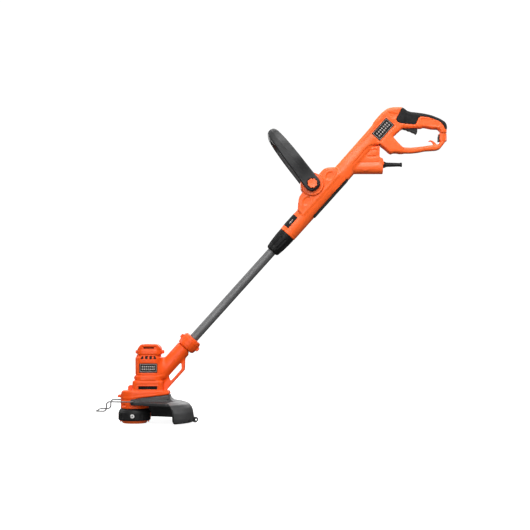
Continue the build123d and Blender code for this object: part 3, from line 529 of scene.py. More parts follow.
HOUSING_SCREWS = [
    (*on_shaft(522, -18.5), 13), (*on_shaft(700, -18.5), 13), (*on_shaft(540, 36), 24),
    (*on_shaft(660, 33), 24), (700, 858, 17), (737, 762, 17), (832, 766.5, 9.5), (808, 838, 14),
    (672, 752, 14),
]
BADGE_PLACE = middle("rear_badge")
INLAY = [(460, 8.6), (500, 8.6), (500, 34), (460, 34)]
PAD = [(533, -27), (672, -27), (672, -20.2), (533, -20.2)]


def upper_outside(space):
    """Outside of the upper housing, both halves alike: barrel, hubs, spine, handle ring and cord box."""
    x, y, z = space.axes
    s, t = shaft(x, z)
    wide = np.abs(y)
    taper = smooth((s - 660) / 170)
    barrel = both(both(np.hypot(t, y) - 25.2 + 7 * taper, 447 - s, 1.5), s - 836, 2)
    hump = both(outline(HUMP, s, t, 6), wide - 27, 6)
    hub = both(np.hypot(x - PIVOT[0], z - PIVOT[1]) - 32, wide - 33.5, 2.5)
    spine = both(outline(SPINE, x, z, 5), wide - 20 + 3.2 * smooth((x - 700) / 58), 8)
    top_bar = both(outline(TOP_BAR, x, z, 5), wide - 17, 9)
    low_bar = both(outline(LOW_BAR, x, z, 5), wide - 11.5, 6)
    hook = both(outline(HOOK, x, z, 2), wide - 4, 1.8)
    sleeve_side = [(-9, 784.5), (10.5, 784.5), (12.3, 787), (12.3, 805), (10.5, 807.5), (-9, 807.5)]
    sleeve = lathe(sleeve_side, np.hypot(x - 859.8, y), z)
    box = both(np.hypot(y, z - CORD_BOX_Z) - 17.3, between(x, 607, 692), 1.5)
    web = both(outline(WEB, x, z, 3), wide - 16, 3)
    whole = join(barrel, hump, 4)
    whole = join(whole, spine, 6)
    whole = join(whole, hub, 2.5)
    whole = join(whole, top_bar, 4)
    whole = join(whole, low_bar, 5)
    whole = join(whole, hook, 1.5)
    whole = join(whole, sleeve, 1.2)
    return join(whole, join(box, web, 3), 3)


def upper_relief(whole, space):
    """The sunk and raised detail of the housing's sides."""
    x, z = space.x, space.z
    s, t = shaft(x, z)
    for centre in (551.5, 646):
        oval = (np.hypot((s - centre) / 11.5, (t - 20.5) / 8.5) - 1) * 8.5
        whole = relief(whole, oval, 1.6, 3)
        whole = groove(whole, np.abs(oval - 3.5), -0.7, 1.6)
    hub_r = np.hypot(x - PIVOT[0], z - PIVOT[1])
    whole = groove(whole, np.abs(hub_r - 27.5), 0.9, 1.5)
    whole = groove(whole, line([(513, 4), (680, 4)], s, t), -0.5, 2.2)
    whole = relief(whole, np.abs(outline(INLAY, s, t, 3)) - 1.6, -0.7, 1.5)
    whole = groove(whole, np.abs(s - 453), 0.6, 1.2)
    whole = groove(whole, line(BOX_GROOVE, x, z), 1.7, 1.7)
    whole = groove(whole, np.abs(outline(BOX_PANEL, x, z, 4)), 2.2, 1.9)
    whole = groove(whole, line([(616, 724.5), (680, 726)], x, z), 0.9, 1.6)
    whole = groove(whole, line([(684.6, 742), (684.6, 772)], x, z), 0.9, 1.4)
    whole = relief(whole, outline(CROWN_RECESS, x, z, 3), 1.8, 3)
    whole = relief(whole, outline(FINGER_PANEL, x, z, 3), 1.3, 2.4)
    for height in (784.5, 807.5):
        whole = groove(whole, np.abs(z - height) + np.clip(845 - x, 0, 60), 1.3, 1.1)
    badge_s, badge_t = shaft(*BADGE_PLACE)
    seat = box2(s - badge_s, t - badge_t, 33.5, 18.5, 4)
    return relief(whole, np.abs(seat) - 1.2, 0.8, 1.6)


def switch_rooms(space):
    """The rooms of the trigger and of the switch above it."""
    x, z, wide = space.x, space.z, np.abs(space.y)
    trigger_room = both(box2(x - 768.5, z - 825, 27.5, 13, 2), wide - 9.7)
    switch_room = both(between(x, 755.9, 782.1), both(between(z, 837, 859.1), wide - 8.1))
    return np.minimum(trigger_room, switch_room)


def upper_rooms(whole, space):
    """The housing with its inside taken out, leaving walls, bosses and the tube's channel."""
    x, y, z = space.axes
    s, t = shaft(x, z)
    wide = np.abs(y)
    off_shaft = np.hypot(t, y)
    spine_room = 16.5 - 3.5 * smooth((x - 690) / 30)
    hump_room = both(polygon(HOLLOW_HUMP, s, t), wide - 23)
    hollow = join(hump_room, both(polygon(HOLLOW_SPINE, x, z), wide - spine_room))
    hollow = join(hollow, both(both(off_shaft - 22.2, -17 - t), between(s, 476, 700)))
    hollow = join(hollow, both(np.hypot(y, z - CORD_BOX_Z) - 14, between(x, 625, 683)))
    hollow = cut(hollow, both(off_shaft - 15.8, between(s, 440, 695)))
    hollow = cut(hollow, np.hypot(x - PIVOT[0], z - PIVOT[1]) - 13)
    for sx, sz, _ in HOUSING_SCREWS:
        hollow = cut(hollow, np.hypot(x - sx, z - sz) - 4.2)
    whole = cut(whole, hollow)
    whole = cut(whole, both(off_shaft - 13.9, s - 688))
    whole = cut(whole, both(off_shaft - 17.6, s - 474.2))
    whole = cut(whole, np.hypot(x - PIVOT[0], z - PIVOT[1]) - PIVOT_BORE_R)
    whole = cut(whole, switch_rooms(space))
    whole = cut(whole, both(np.hypot(y, z - CORD_Z) - 9.7, 687.9 - x))
    whole = cut(whole, both(between(s, 532.8, 672.2), t + 20))
    whole = cut(whole, both(polygon(CLIP, x, z), wide - 9.1), 0.3)
    return cut(whole, both(outline(INLAY, s, t, 3), 23.2 - off_shaft), 0.4)


def build_upper_housing():
    """Both halves of the upper housing."""
    space = Space((395, 0, 505), (874, 35, 884), HOUSING_STEP)
    x, y, z = space.axes
    s, t = shaft(x, z)
    outside = upper_outside(space)
    zone, core = outline(GRIP_ZONE, x, z, 4), polygon(GRIP_CORE, x, z)
    core_solid = cut(both(core, np.abs(y) - 14.5), switch_rooms(space))
    shell = upper_rooms(upper_relief(outside, space), space)
    shell = join(cut(shell, zone - 0.25, 0.8), both(both(outside + 2.6, zone), core_solid), 0.2)
    shell = both(both(shell, SEAM - y, 0.3), z - cad_high[2] / MM + 0.1)
    badge_s, badge_t = shaft(*BADGE_PLACE)
    pocket = both(box2(s - badge_s, t - badge_t, 30.3, 15.3, 2.5), 18.1 - y)
    near = cut(shell, pocket, 0.4)
    far = screw_wells(shell, HOUSING_SCREWS, space)
    piece("left_housing_shell", space, near, "upper_housing", "orange_plastic", ["housing_left"], True)
    piece("right_housing_shell", space, far, "upper_housing", "orange_plastic", ["housing_right"])


def build_grip():
    """The soft grip over the handle's top bar."""
    space = Space((724, -19, 812), (875, 19, 884), 0.9)
    x, y, z = space.axes
    grip = both(upper_outside(space) - 0.25, outline(GRIP_ZONE, x, z, 4) + 0.2, 1.6)
    grip = cut(grip, both(polygon(GRIP_CORE, x, z) - 0.1, np.abs(y) - 14.6), 0.5)
    grip = groove(grip, np.abs(outline(GRIP_ZONE, x, z, 4) + 3.6), 0.5, 0.9)
    piece("grip_overmould", space, grip, "upper_housing", "soft_rubber", ["soft_grip"])


# ---------------------------------------------------------------- bail handle
BAIL_SIDE = [
    (0, 22), (60, 21), (110, 20), (147, 18), (177, 15.5), (188, 11), (193, 4), (193, -4), (188, -11),
    (177, -15.5), (147, -18), (110, -20), (60, -21), (0, -22),
]
BAIL_OUTER = [(-23, 47), (30, 47), (76, 59), (150, 59), (182, 49), (193, 33)]
BAIL_INNER = [(-40, 34), (33, 34), (80, 46), (146, 46), (163, 28)]


def both_sides(points):
    """An outline of (s, y) points closed with its mirror image."""
    return points + [(s, -y) for s, y in reversed(points)]


def build_bail():
    """The front handle: two legs with eyes round the release buttons, and a cross grip."""
    space = Space((-23, -60, -23), (194, 60, 23), 1.1, PIVOT, BAIL_ANGLE)
    s, y, t = space.axes
    wide = np.abs(y)
    ridge = smooth((s - 26) / 40) * 0.11 * np.abs(t)
    frame_line = outline(both_sides(BAIL_OUTER), s, y, 16) + ridge
    hole = outline(both_sides(BAIL_INNER), s, y, 12)
    side = join(outline(BAIL_SIDE, s, t, 6), np.hypot(s, t) - 22, 2)
    bail = both(cut(frame_line, hole, 3.5), side, 4.2)
    r = np.hypot(s, t)
    bail = cut(bail, both(r - 14.3, 39.3 - wide), 0.8)
    bail = cut(bail, r - PIVOT_BORE_R, 0.5)
    bail = both(bail, 34.0 - wide - np.clip(s - 20, 0, 200), 0.6)
    piece("bail_handle_moulding", space, bail, "bail", "bail_plastic", ["bail_handle"])


def build_bail_buttons():
    """Round release buttons with finger notches and a shallow dished face."""
    for side, name in SIDES:
        space = Space((-14, 28, -14), (14, 51, 14), 0.5, PIVOT, 0)
        x, y, z = space.axes
        r = np.hypot(x, z)
        turn = np.arctan2(z, x)
        rim = 13.5 - 2.2 * smooth((np.cos(8 * turn) - 0.55) / 0.35)
        face = 50.4 - 0.9 * np.clip(1 - (r / 9.5) ** 2, 0, 1)
        button = both(r - rim, np.maximum(y - face, 44 - y), 1.0)
        button = join(button, both(r - 6.3, between(y, 28, 45)), 0.5)
        node = f"bail_button_{name}"
        piece(f"{node}_cap", space, button, node, "button_plastic", [node], mirrored=side < 0)


# ---------------------------------------------------------------- shaft collars
def shaft_space(low, high, reach, step=FINE_STEP):
    return Space((low, -reach, -reach), (high, reach, reach), step, SHAFT_FOOT, SHAFT_ANGLE)


def build_twist_collar():
    """The ribbed collar that clamps the tube."""
    space = shaft_space(383, 447, 25)
    s, y, t = space.axes
    r, turn = np.hypot(y, t), np.arctan2(y, t)
    side = [
        (0, 383), (16, 383), (19.7, 386.5), (21, 397), (22.3, 407), (23.7, 427), (24.4, 443), (24.4, 446.5),
        (0, 446.5),
    ]
    twist = lathe(softened(side, 1.2), r, s)
    ends = smooth(np.minimum(s - 394, 434 - s) / 6)
    twist = twist + 1.5 * ends * smooth(0.35 - 1.5 * np.cos(12 * turn))
    twist = groove(twist, np.abs(s - 444.5), 0.5, 0.8)
    room = [(0, 380), (13, 380), (13, 392), (18.3, 392), (18.3, 450), (0, 450)]
    twist = cut(twist, lathe(room, r, s), 0.4)
    piece("twist_collar_moulding", space, twist, "twist_collar", "black_plastic", ["twist_collar"])


def build_head_collar():
    """The head's release collar, with a thumb lug through it."""
    space = shaft_space(20, 58, 33)
    s, y, t = space.axes
    r = np.hypot(y, t)
    side = [(-9, 21), (21.5, 21), (25.5, 24), (27, 30), (27.4, 47), (26.5, 52), (23.5, 57.2), (-9, 57.2)]
    outside = lathe(softened(side, 1.6), r, s)
    lug = [(35.5, -32), (46, -32), (48, -20), (48, 20), (46, 32), (35.5, 32), (33.5, 20), (33.5, -20)]
    collar = join(outside, both(outline(lug, s, t, 2), np.abs(y) - 9, 1.8), 1.6)
    for place, depth in ((50.5, 0.8), (29.5, 0.5)):
        collar = groove(collar, np.abs(s - place), depth, 0.9)
    for corner in (-1, 1):
        facet = np.hypot(np.abs(y) - 19, t - corner * 17)
        collar = groove(collar, facet + 30 * (np.abs(s - 40) > 9), 0.6, 2.2)
    collar = cut(collar, both(r - 18, between(s, 24.5, 53)), 0.6)
    collar = cut(collar, r - 12.95, 0.5)
    head_moulding("head_collar_moulding", space, collar, "head_collar", "head_collar")


# ---------------------------------------------------------------- cutting head
HEAD_CASE_PLAN = [(0, 39.5), (60, 39), (99, 31), (99, -31), (60, -39), (0, -39.5)]
HEAD_CASE_SIDE = [
    (-40.5, 66), (-39.5, 80), (-35.5, 88), (-32, 91), (60, 91), (95, 90), (100.5, 80.3), (-7.5, 68),
    (-9, 66),
]
BRACE = [(0, 10), (0, -21), (-24, -40.5), (-100, -40.5), (-125, -12), (-60, 10)]
BRACE_SLOT = [(-67, -18.5), (-20, -18.5), (-17, -21), (-28, -32), (-73, -32), (-72, -26)]
TOP_CAP = [
    (7.5, 189), (7.5, 203), (16.5, 216), (22.5, 219), (62.5, 219), (70.5, 213), (75.5, 203), (75.5, 189),
]
HEAD_SCREWS = [(-11.5, 97.5, 7), (4, 109, 34), (72, 109, 34), (104, 150, 14), (88, 84.5, 26)]
MOTOR_VENTS = [
    [(18.5, 177.5), (26.5, 177.5), (26.5, 186), (23.5, 186)],
    [(31.5, 177.5), (38.5, 177.5), (38.5, 186), (31.5, 186)],
    [(43.5, 177.5), (50.5, 177.5), (50.5, 186), (43.5, 186)],
    [(55.0, 177.5), (63.5, 177.5), (58.5, 186), (55.0, 186)],
]
VENT_SLOT = (39.5, 99.0)
CASING_SECTION = [
    (11.1, 65.7), (11.1, 58.0), (5.7, 58.0), (5.7, 50), (15, 50), (15, 57), (35.5, 57), (35.5, 41.3),
    (39, 41.3), (39, 65.7),
]
HEAD_BADGE = middle("head_badge")
# Rooms about the spool's and the motor's axes: radius, bottom and top.
SPOOL_ROOMS = [(31, 70, 82.5), (5.6, 60, 95), (11.1, 82.4, 89.1)]
MOTOR_ROOMS = [
    (14.2, 67.5, 84), (4.8, 60, 112), (11.1, 103.9, 112), (33, 112, 180), (28, 179, 187), (27, 186, 192),
]


def case_plan(x, y):
    """Signed distance to the plan of the gear case."""
    return np.minimum(np.hypot(x, y) - 39.5, polygon(HEAD_CASE_PLAN, x, y))


def upright(space, half_x, half_y, corner, low, high, x=MOTOR_X, edge=3.0):
    """Upright block with a rounded plan and rounded edges."""
    return both(box2(space.x - x, space.y, half_x, half_y, corner), between(space.z, low, high), edge)


def head_outside(space):
    """Outside of the head's clamshell: gear case, motor tower, neck and brace."""
    x, y, z = space.axes
    s, t = shaft(x, z)
    wide = np.abs(y)
    case = both(case_plan(x, y), outline(HEAD_CASE_SIDE, x, z, 4), 4)
    boss = both(outline([(-47.5, 71), (-38, 71), (-38, 79), (-46, 79)], x, z, 1.5), wide - 8, 1.5)
    ledge_side = [(-18.5, 90), (-4, 90), (-4, 105), (-15, 105), (-18.5, 101)]
    ledge = both(outline(ledge_side, x, z, 2), wide - 8, 1.5)
    bump_side = [(0.5, 120), (5, 120), (5, 131), (0.5, 131), (-1.5, 128), (-1.5, 123)]
    bump = both(outline(bump_side, x, z, 1.5), wide - 10, 2)
    tower = upright(space, 36, 36, 22, 133, 184, edge=4)
    tower = join(tower, upright(space, 33, 33, 20, 180, 189, edge=1.0), 1.5)
    waist = upright(space, 38, 37, 22, 118, 133, edge=3.5)
    base = upright(space, 42.25, 37, 16, 88, 118.5, 37.75, 4)
    neck = both(both(np.hypot(y, t - 1.6) - 22.1, between(s, -78, 20.3), 1), 92 - z)
    brace = both(outline(BRACE, s, t, 3), wide - 10, 2.5)
    brace = both(brace, np.maximum(x - 140.5, 88 - z), 2)
    whole = join(join(tower, waist, 1.2), base, 1.5)
    whole = join(join(whole, case, 3), ledge, 1.5)
    whole = join(join(whole, boss, 1.5), bump, 1)
    whole = join(join(whole, neck, 15), brace, 4)
    whole = join(whole, both(np.hypot(x, y) - 38.5, between(z, 66, 80)), 0.5)
    return cut(whole, outline(BRACE_SLOT, s, t, 3), 1.5)


def head_relief(whole, space):
    """Frames, lines and recesses of the head's sides."""
    x, y, z = space.axes
    side = np.clip(30 - np.abs(y), 0, 60)
    slot_x, slot_z = VENT_SLOT
    badge_x, badge_z = HEAD_BADGE
    whole = relief(whole, np.abs(box2(x - slot_x, z - slot_z, 31, 9, 3)) - 0.8 + side, 1.4, 2.4)
    whole = relief(whole, box2(x - badge_x, z - badge_z, 28, 16.5, 3) + side, 0.8, 2.5)
    whole = groove(whole, np.abs(z - 174) + side, 0.6, 1.2)
    whole = groove(whole, line([(9, 187), (9, 168), (5, 160), (5, 136)], x, z), 0.5, 1.0)
    whole = groove(whole, line([(70, 183), (73, 172), (79, 160), (80, 122)], x, z) + side * 0.2, 0.8, 1.5)
    whole = groove(whole, line([(79, 92), (79, 112), (76, 117)], x, z) + side, 0.8, 1.4)
    whole = groove(whole, line([(-36, 74), (98, 87)], x, z), 0.45, 1.0)
    return whole


def head_rooms(whole, space):
    """Rooms for the gears, bearings, motor and tube."""
    x, y, z = space.axes
    s, t = shaft(x, z)
    on_spool, on_motor = np.hypot(x, y), np.hypot(x - MOTOR_X, y)
    for radius, low, high in SPOOL_ROOMS:
        whole = cut(whole, both(on_spool - radius, between(z, low, high)))
    for radius, low, high in MOTOR_ROOMS:
        whole = cut(whole, both(on_motor - radius, between(z, low, high)))
    whole = cut(whole, both(np.hypot(y, t) - 12.9, between(s, -30, 30)))
    slot_x, slot_z = VENT_SLOT
    whole = cut(whole, both(box2(x - slot_x, z - slot_z, 26, 4.5, 1.2), 28 - np.abs(y)), 0.8)
    for vent in MOTOR_VENTS:
        whole = cut(whole, both(outline(vent, x, z, 1), 27 - np.abs(y)), 0.7)
    return whole


def build_head_shells():
    """Both halves of the head's clamshell."""
    space = Space((-48, 0, 62), (146, 40, 227), 1.1)
    x, y, z = space.axes
    shell = head_rooms(head_relief(head_outside(space), space), space)
    shell = both(shell, SEAM - y, 0.3)
    near = cut(shell, both(box2(x - HEAD_BADGE[0], z - HEAD_BADGE[1], 25.2, 13.2, 2), 34.7 - y), 0.4)
    far = screw_wells(shell, HEAD_SCREWS, space)
    head_moulding("left_head_shell", space, near, "head_housing_left", mirrored=True)
    head_moulding("right_head_shell", space, far, "head_housing_right")


def build_motor_cap():
    """The motor's top cap, and the dark strips in its two slots."""
    space = Space((2, -35, 188), (82, 35, 220), 0.8)
    x, y, z = space.axes
    wide = np.abs(y)
    cap = both(outline(TOP_CAP, x, z, 4), box2(x - 41.5, y, 36, 34, 20), 3)
    for low, high in ((2.5, 14), (68, 81.5)):
        cap = join(cap, both(both(between(x, low, high), between(z, 192.6, 202.6), 1.2), wide - 9, 1.5), 1)
    side = np.clip(24 - wide, 0, 60)
    cap = groove(cap, np.abs(z - 190.8), 0.5, 0.9)
    cap = groove(cap, np.abs(z - 202.2), 0.7, 1.1)
    cap = relief(cap, box2(x - 42, z - 208.3, 20, 5, 2.5) + side, 1.4, 2.4)
    cap = cut(cap, both(box2(x - 41, z - 208.6, 14, 2.1, 1), 27 - wide), 0.6)
    cap = cut(cap, both(np.hypot(x - MOTOR_X, y) - 27, z - 194), 0.6)
    cap = cut(cap, both(np.hypot(x - MOTOR_X, y) - 9.6, z - 204), 0.4)
    cap = both(cap, 189.2 - z, 0.6)
    head_moulding("motor_top_cap_moulding", space, cap, "motor_top_cap")
    for side, name in SIDES:
        space = Space((25, 25, 205), (57, 30, 212), 0.5)
        x, y, z = space.axes
        strip = both(box2(x - 41, z - 208.6, 13.9, 2.0, 0.9), between(y, 26.2, 28.6), 0.4)
        strip = relief(strip, np.abs(np.mod(x, 4) - 2) - 0.6, 0.4, 0.5)
        piece(f"cap_slot_strip_{name}", space, strip, "head", "black_plastic", mirrored=side < 0)


def build_vent_trim():
    """Grilles in the lower vent slots and screens behind the upper vents."""
    for side, name in SIDES:
        space = Space((13, 28, 93), (67, 33, 105), 0.6)
        x, y, z = space.axes
        grille = both(box2(x - VENT_SLOT[0], z - VENT_SLOT[1], 25.9, 4.4, 1), between(y, 28.1, 32), 0.3)
        grille = cut(grille, both(np.abs(np.sin(pi * (x - VENT_SLOT[0]) / 6)) * 2 - 1.2, 29 - y), 0.3)
        piece(f"lower_vent_grille_{name}", space, grille, "head", "black_plastic", mirrored=side < 0)
        space = Space((15, 22, 174), (68, 37, 189), 0.6)
        x, y, z = space.axes
        below = np.abs(head_outside(space) + 2.1 + 0.25 * np.cos(2 * pi * z / 2.4)) - 0.55
        mesh = both(below, both(box2(x - 41, z - 181.7, 24.5, 5.6, 1), 24 - y), 0.3)
        piece(f"upper_vent_screen_{name}", space, mesh, "head", "black_plastic", mirrored=side < 0)


def build_gear_casing():
    """The round casing under the gears."""
    space = Space((-39.5, -39.5, 41), (39.5, 39.5, 66), 0.8)
    x, y, z = space.axes
    r, turn = np.hypot(x, y), np.arctan2(y, x)
    casing = lathe(softened(CASING_SECTION, 1), r, z)
    wedge = np.arctan2(np.sin(8 * turn), np.cos(8 * turn)) / 8
    slot = box2(wedge * 39, z - 50.5, 8.5, 3, 1.5) + 30 * (r < 37)
    casing = relief(casing, slot, 1.5, 2)
    casing = groove(casing, np.abs(z - 59) + 30 * (r < 37), 0.5, 0.9)
    head_moulding("gear_casing_moulding", space, casing, "gearbox_cover")


# ---------------------------------------------------------------- spool head
DRUM_SECTION = [
    (5.1, 16), (9, 16), (9, 33), (35, 33), (41, 28), (41.5, 8.4), (43.4, 8.4), (45, 10.5), (45, 30),
    (43, 35), (39.5, 40), (5.1, 40),
]
CAP_SECTION = [
    (-9, 0), (31.5, 0), (33, 0.8), (38, 7), (38, 8), (35.5, 8), (30.5, 3.2), (14.5, 3.2), (14.5, 7),
    (13.4, 7), (13.4, 3.2), (-9, 3.2),
]
EYELET_ANGLE = -92  # way that the near eyelet faces, in degrees from +X
EYELET_WAY = Vector((cos(radians(EYELET_ANGLE)), sin(radians(EYELET_ANGLE))))


def build_drum():
    """Black spool drum with its line bosses."""
    space = Space((-47, -47, 8), (47, 47, 40.5), 0.8)
    x, y, z = space.axes
    r = np.hypot(x, y)
    drum = lathe(softened(DRUM_SECTION, 1.8), r, z)
    for sign in (-1, 1):
        axis = EYELET_WAY * sign
        outward, sideways = x * axis.x + y * axis.y, y * axis.x - x * axis.y
        off = np.hypot(sideways, z - EYELET_Z)
        drum = join(drum, both(off - 9, between(outward, 42, 45.9), 0.8), 0.8)
        drum = cut(drum, both(off - 4.1, 30 - outward), 0.4)
        window = both(both(np.abs(y) - 7.6, sign * x * -1 + 37, 0.3), between(z, 6, 31), 0.5)
        drum = cut(drum, window, 0.5)
    drum = groove(drum, np.abs(z - 33) + 30 * (r < 40), 0.4, 0.8)
    turn = np.arctan2(y, x)
    ribs = np.clip(np.cos(24 * turn) * 1.5, 0, 1) * np.clip(np.minimum(z - 12, 29 - z) / 2, 0, 1)
    away = smooth((np.abs(y * EYELET_WAY.x - x * EYELET_WAY.y) - 13) / 3)
    drum = drum + 0.6 * ribs * away * (r > 43)
    piece("spool_drum_moulding", space, drum, "spool_head", "black_plastic", ["spool_drum"])


def build_spool_cap():
    """Cap under the drum, with windows for the release tabs."""
    space = Space((-38.5, -38.5, 0), (38.5, 38.5, 8.2), 0.7)
    x, y, z = space.axes
    r, turn = np.hypot(x, y), np.arctan2(y, x)
    cap = lathe(softened(CAP_SECTION, 0.8), r, z)
    spokes = np.clip(np.cos(6 * turn) * 4 - 2.6, 0, 1) * np.clip(np.minimum(r - 14, 27 - r) / 2, 0, 1)
    cap = cap + 0.7 * spokes * (z < 2)
    cap = groove(cap, np.abs(r - 12) + 30 * (z > 2), 0.5, 0.9)
    cap = groove(cap, np.abs(r - 29) + 30 * (z > 2), 0.5, 0.9)
    for sign in (-1, 1):
        cap = cut(cap, both(both(np.abs(y) - 7.4, between(sign * x, 34.6, 41)), between(z, 3.4, 10)), 0.3)
    piece("spool_cap_moulding", space, cap, "spool_cap", "orange_plastic", ["spool_cap"])


# ---------------------------------------------------------------- guard
GUARD_SKIRT = [
    (128, 60.5), (136, 60), (151, 55), (159, 45), (163, 33), (165, 16), (165, 8), (163.8, 4.5),
    (161.4, 4.5), (159.5, 32), (156.4, 43.6), (149.4, 52.4), (135.4, 57.2), (128, 57.7),
]
GUARD_R = 165.0
NOTCH_ANGLE = -19.5
NEAR_END, FAR_END = -45.5, 86.0  # the skirt's ends, in degrees about the spool from +X


def polar(radius, angle):
    return radius * cos(radians(angle)), radius * sin(radians(angle))


def guard_skirt(space):
    """Signed distance to the guard's curved skirt, and how far each point lies before its near end."""
    x, y, z = space.axes
    r, turn = np.hypot(x, y), np.degrees(np.arctan2(y, x))
    before = (NEAR_END - turn) * r * radians(1)
    ends = np.maximum(before, (turn - FAR_END) * r * radians(1))
    return both(lathe(softened(GUARD_SKIRT, 2.5), r, z), both(ends, 4.5 - z, 11), 1.3), before


def build_guard_edge_shade():
    """A black sheet on the skirt's near edges and a dark patch at the notch in its rim, which are painted shade of
    the rolled edge and of the notch.
    """
    space = Space((100, -124, 2), (170, 20, 50), 0.7)
    x, y, z = space.axes
    turn = np.degrees(np.arctan2(y, x))
    skirt, before = guard_skirt(space)
    band = both(np.minimum(z - 9, -3.5 - before), np.maximum(z - 44, turn - 4), 1)
    notch = box2((turn - NOTCH_ANGLE) * radians(1) * GUARD_R, z - 6, 9.5, 8, 4)
    # painted shade: a black sheet laid 0.5 mm over the grey skirt along its near edges and at the notch
    shade_sheet = both(skirt - 0.5, np.minimum(band, notch), 0.5)
    piece("guard_edge_shade_sheet", space, both(shade_sheet, -117.5 - y, 0.3), "head", "black_plastic")


def build_cutter():
    """The line cutter's blade on the skirt's inside, a flat strip with a notched edge."""
    space = Space((106, -118, 4), (140, -86, 23), 0.45)
    x, y, z = space.axes
    way = radians(NEAR_END + 6)
    outward = x * cos(way) + y * sin(way) - 159.5
    along = y * cos(way) - x * sin(way)
    blade = both(box2(along, z - 12.6, 11, 7.4, 0.8), np.abs(outward) - 0.7, 0.3)
    blade = cut(blade, box2(along + 3, z - 4, 4, 2.4, 0.6), 0.3)
    for offset in (-6, 6):
        blade = cut(blade, np.hypot(along - offset, z - 16) - 1.7, 0.2)
    piece("line_cutter_blade", space, blade, "head", "bright_steel", ["line_cutter"])


def build_guard():
    """Debris guard: curved skirt, deck with its near lip, collar round the casing and the wire's arms."""
    space = Space((-8, -166, 1), (178, 166, 92), 1.35)
    x, y, z = space.axes
    r, turn = np.hypot(x, y), np.degrees(np.arctan2(y, x))
    skirt, _ = guard_skirt(space)
    rear = [polar(132, NEAR_END + (FAR_END - NEAR_END) * k / 18) for k in range(19)]
    plan = rear + [(8, 46.5), (-6.5, 46.5), (-6.5, -46.5), (-2, -46.5), (30, -60), (66, -84)]
    deck = both(polygon(plan, x, y), between(z, 57.7, 60.5), 1)
    whole = join(skirt, deck, 1.0)
    near_edge = line([(3, -49), (30, -59.3), (66, -83.3), polar(146, NEAR_END)], x, y)
    whole = join(whole, both(near_edge - 1.4, between(z, 51, 59.5), 0.9), 1.5)
    hub_side = [(-6.5, 52), (98, 52), (98, 79.6), (-6.5, 67.5)]
    hub = both(case_plan(x, y), polygon(hub_side, x, z), 1)
    collar = np.minimum(np.hypot(x, y) - 46.5, box2(x - 49, y, 49, 43, 6))
    collar = both(collar, outline([(-6.5, 52), (100, 52), (100, 72), (-6.5, 66)], x, z, 1.5), 2)
    whole = join(join(whole, hub, 1), collar, 6)
    rise_side = [(90, 58), (90, 78), (97, 76.5), (103, 71.5), (112, 63.5), (122, 59), (122, 58)]
    rise = both(outline(rise_side, r, z, 3), np.maximum(-20 - turn, turn - 20) * r * radians(1), 4)
    whole = join(whole, rise, 5)
    for side in (-1, 1):
        arm = both(between(side * y, 41.5, 46.5), both(between(x, -6.5, 20), between(z, 52, 67)), 1)
        whole = join(whole, arm, 1.5)
    under_case = [(-90, 66), (-9, 66), (-7.5, 68), (100.5, 80.3), (140, 80.3), (140, 20), (-90, 20)]
    above = both(case_plan(x, y) - 0.3, -polygon(under_case, x, z))
    whole = cut(whole, above, 0.4)
    whole = both(whole, -both(np.hypot(x, y) - 39.4, between(z, 40, 95), 0.2), 0.5)
    whole = cut(whole, both(np.hypot(x, y) - 40.2, z - 57.7), 0.4)
    whole = cut(whole, both(np.hypot(x - MOTOR_X, y) - 18, between(z, 40, 90)), 0.4)
    whole = cut(whole, both(box2(x - 67, y, 26, 29, 3), between(z, 40, 57.7)), 0.4)
    lug_side = [(160, 1.5), (172, 1.5), (177, 7), (177, 13), (172, 17), (160, 17)]
    lug = both(outline(lug_side, x, z, 2), np.abs(y) - 4, 1)
    lug = cut(cut(lug, r - 163, 0.3), np.hypot(x - 171, z - 9) - 2.6, 0.5)
    whole = join(whole, lug, 1)
    whole = groove(whole, np.abs(r - 139) + 30 * (z < 55), 0.9, 1.8)
    piece("guard_moulding", space, whole, "head", "guard_plastic", ["guard"])


# ---------------------------------------------------------------- controls and trim
def build_trigger():
    """Finger trigger with a scalloped front and a pivot hole."""
    shape = [
        (745.4, 821), (749, 819.8), (760.5, 815), (770.5, 812), (780.5, 807), (784.5, 804), (788.5, 807),
        (789.5, 818), (789, 829), (786, 831.6), (752, 831.6), (746, 829.5),
    ]
    space = Space((745, -8, 803.5), (790, 8, 832), 0.55)
    x, y, z = space.axes
    wide = np.abs(y)
    trigger = both(outline(shape, x, z, 2.5), wide - 8, 2.2)
    for px, pz in ((755.5, 810), (766.5, 806), (776.5, 801.5)):
        trigger = cut(trigger, np.hypot(x - px, z - pz) - 8.2, 1.2)
    front = line([(747, 820), (760.5, 815), (770.5, 812), (781, 807)], x, z)
    trigger = groove(trigger, np.abs(front - 6.5), 0.7, 0.9)
    trigger = cut(trigger, np.hypot(x - 750, z - 827.5) - 2.1, 0.3)
    piece("trigger_moulding", space, trigger, "trigger", "trigger_plastic", ["trigger"])


def build_inlay():
    """Lock inlay with a plain arrow."""
    space = shaft_space(459, 501, 26, 0.6)
    s, y, t = space.axes
    r = np.hypot(y, t)
    side = outline([(460.3, 8.9), (499.7, 8.9), (499.7, 34), (460.3, 34)], s, t, 3)
    inlay = both(both(side, r - 25.6, 0.8), 23.4 - r, 0.3)
    tip = outline([(472, 15.5), (479, 11.5), (479, 19.5)], s, t, 0.5)
    arrow = join(box2(s - 484, t - 15.5, 5, 1.3, 0.3), tip, 0.2)
    border = outline([(462, 10.6), (498, 10.6), (498, 36), (462, 36)], s, t, 2)
    inlay = relief(inlay, np.abs(border) - 0.4, 0.35, 0.9)
    piece("lock_inlay_moulding", space, inlay, "upper_housing", "black_plastic", ["lock_inlay"])
    mark = both(both(arrow, r - 25.75, 0.1), 25.2 - r, 0.05)
    piece("lock_arrow", space, mark, "upper_housing", "badge_plate")


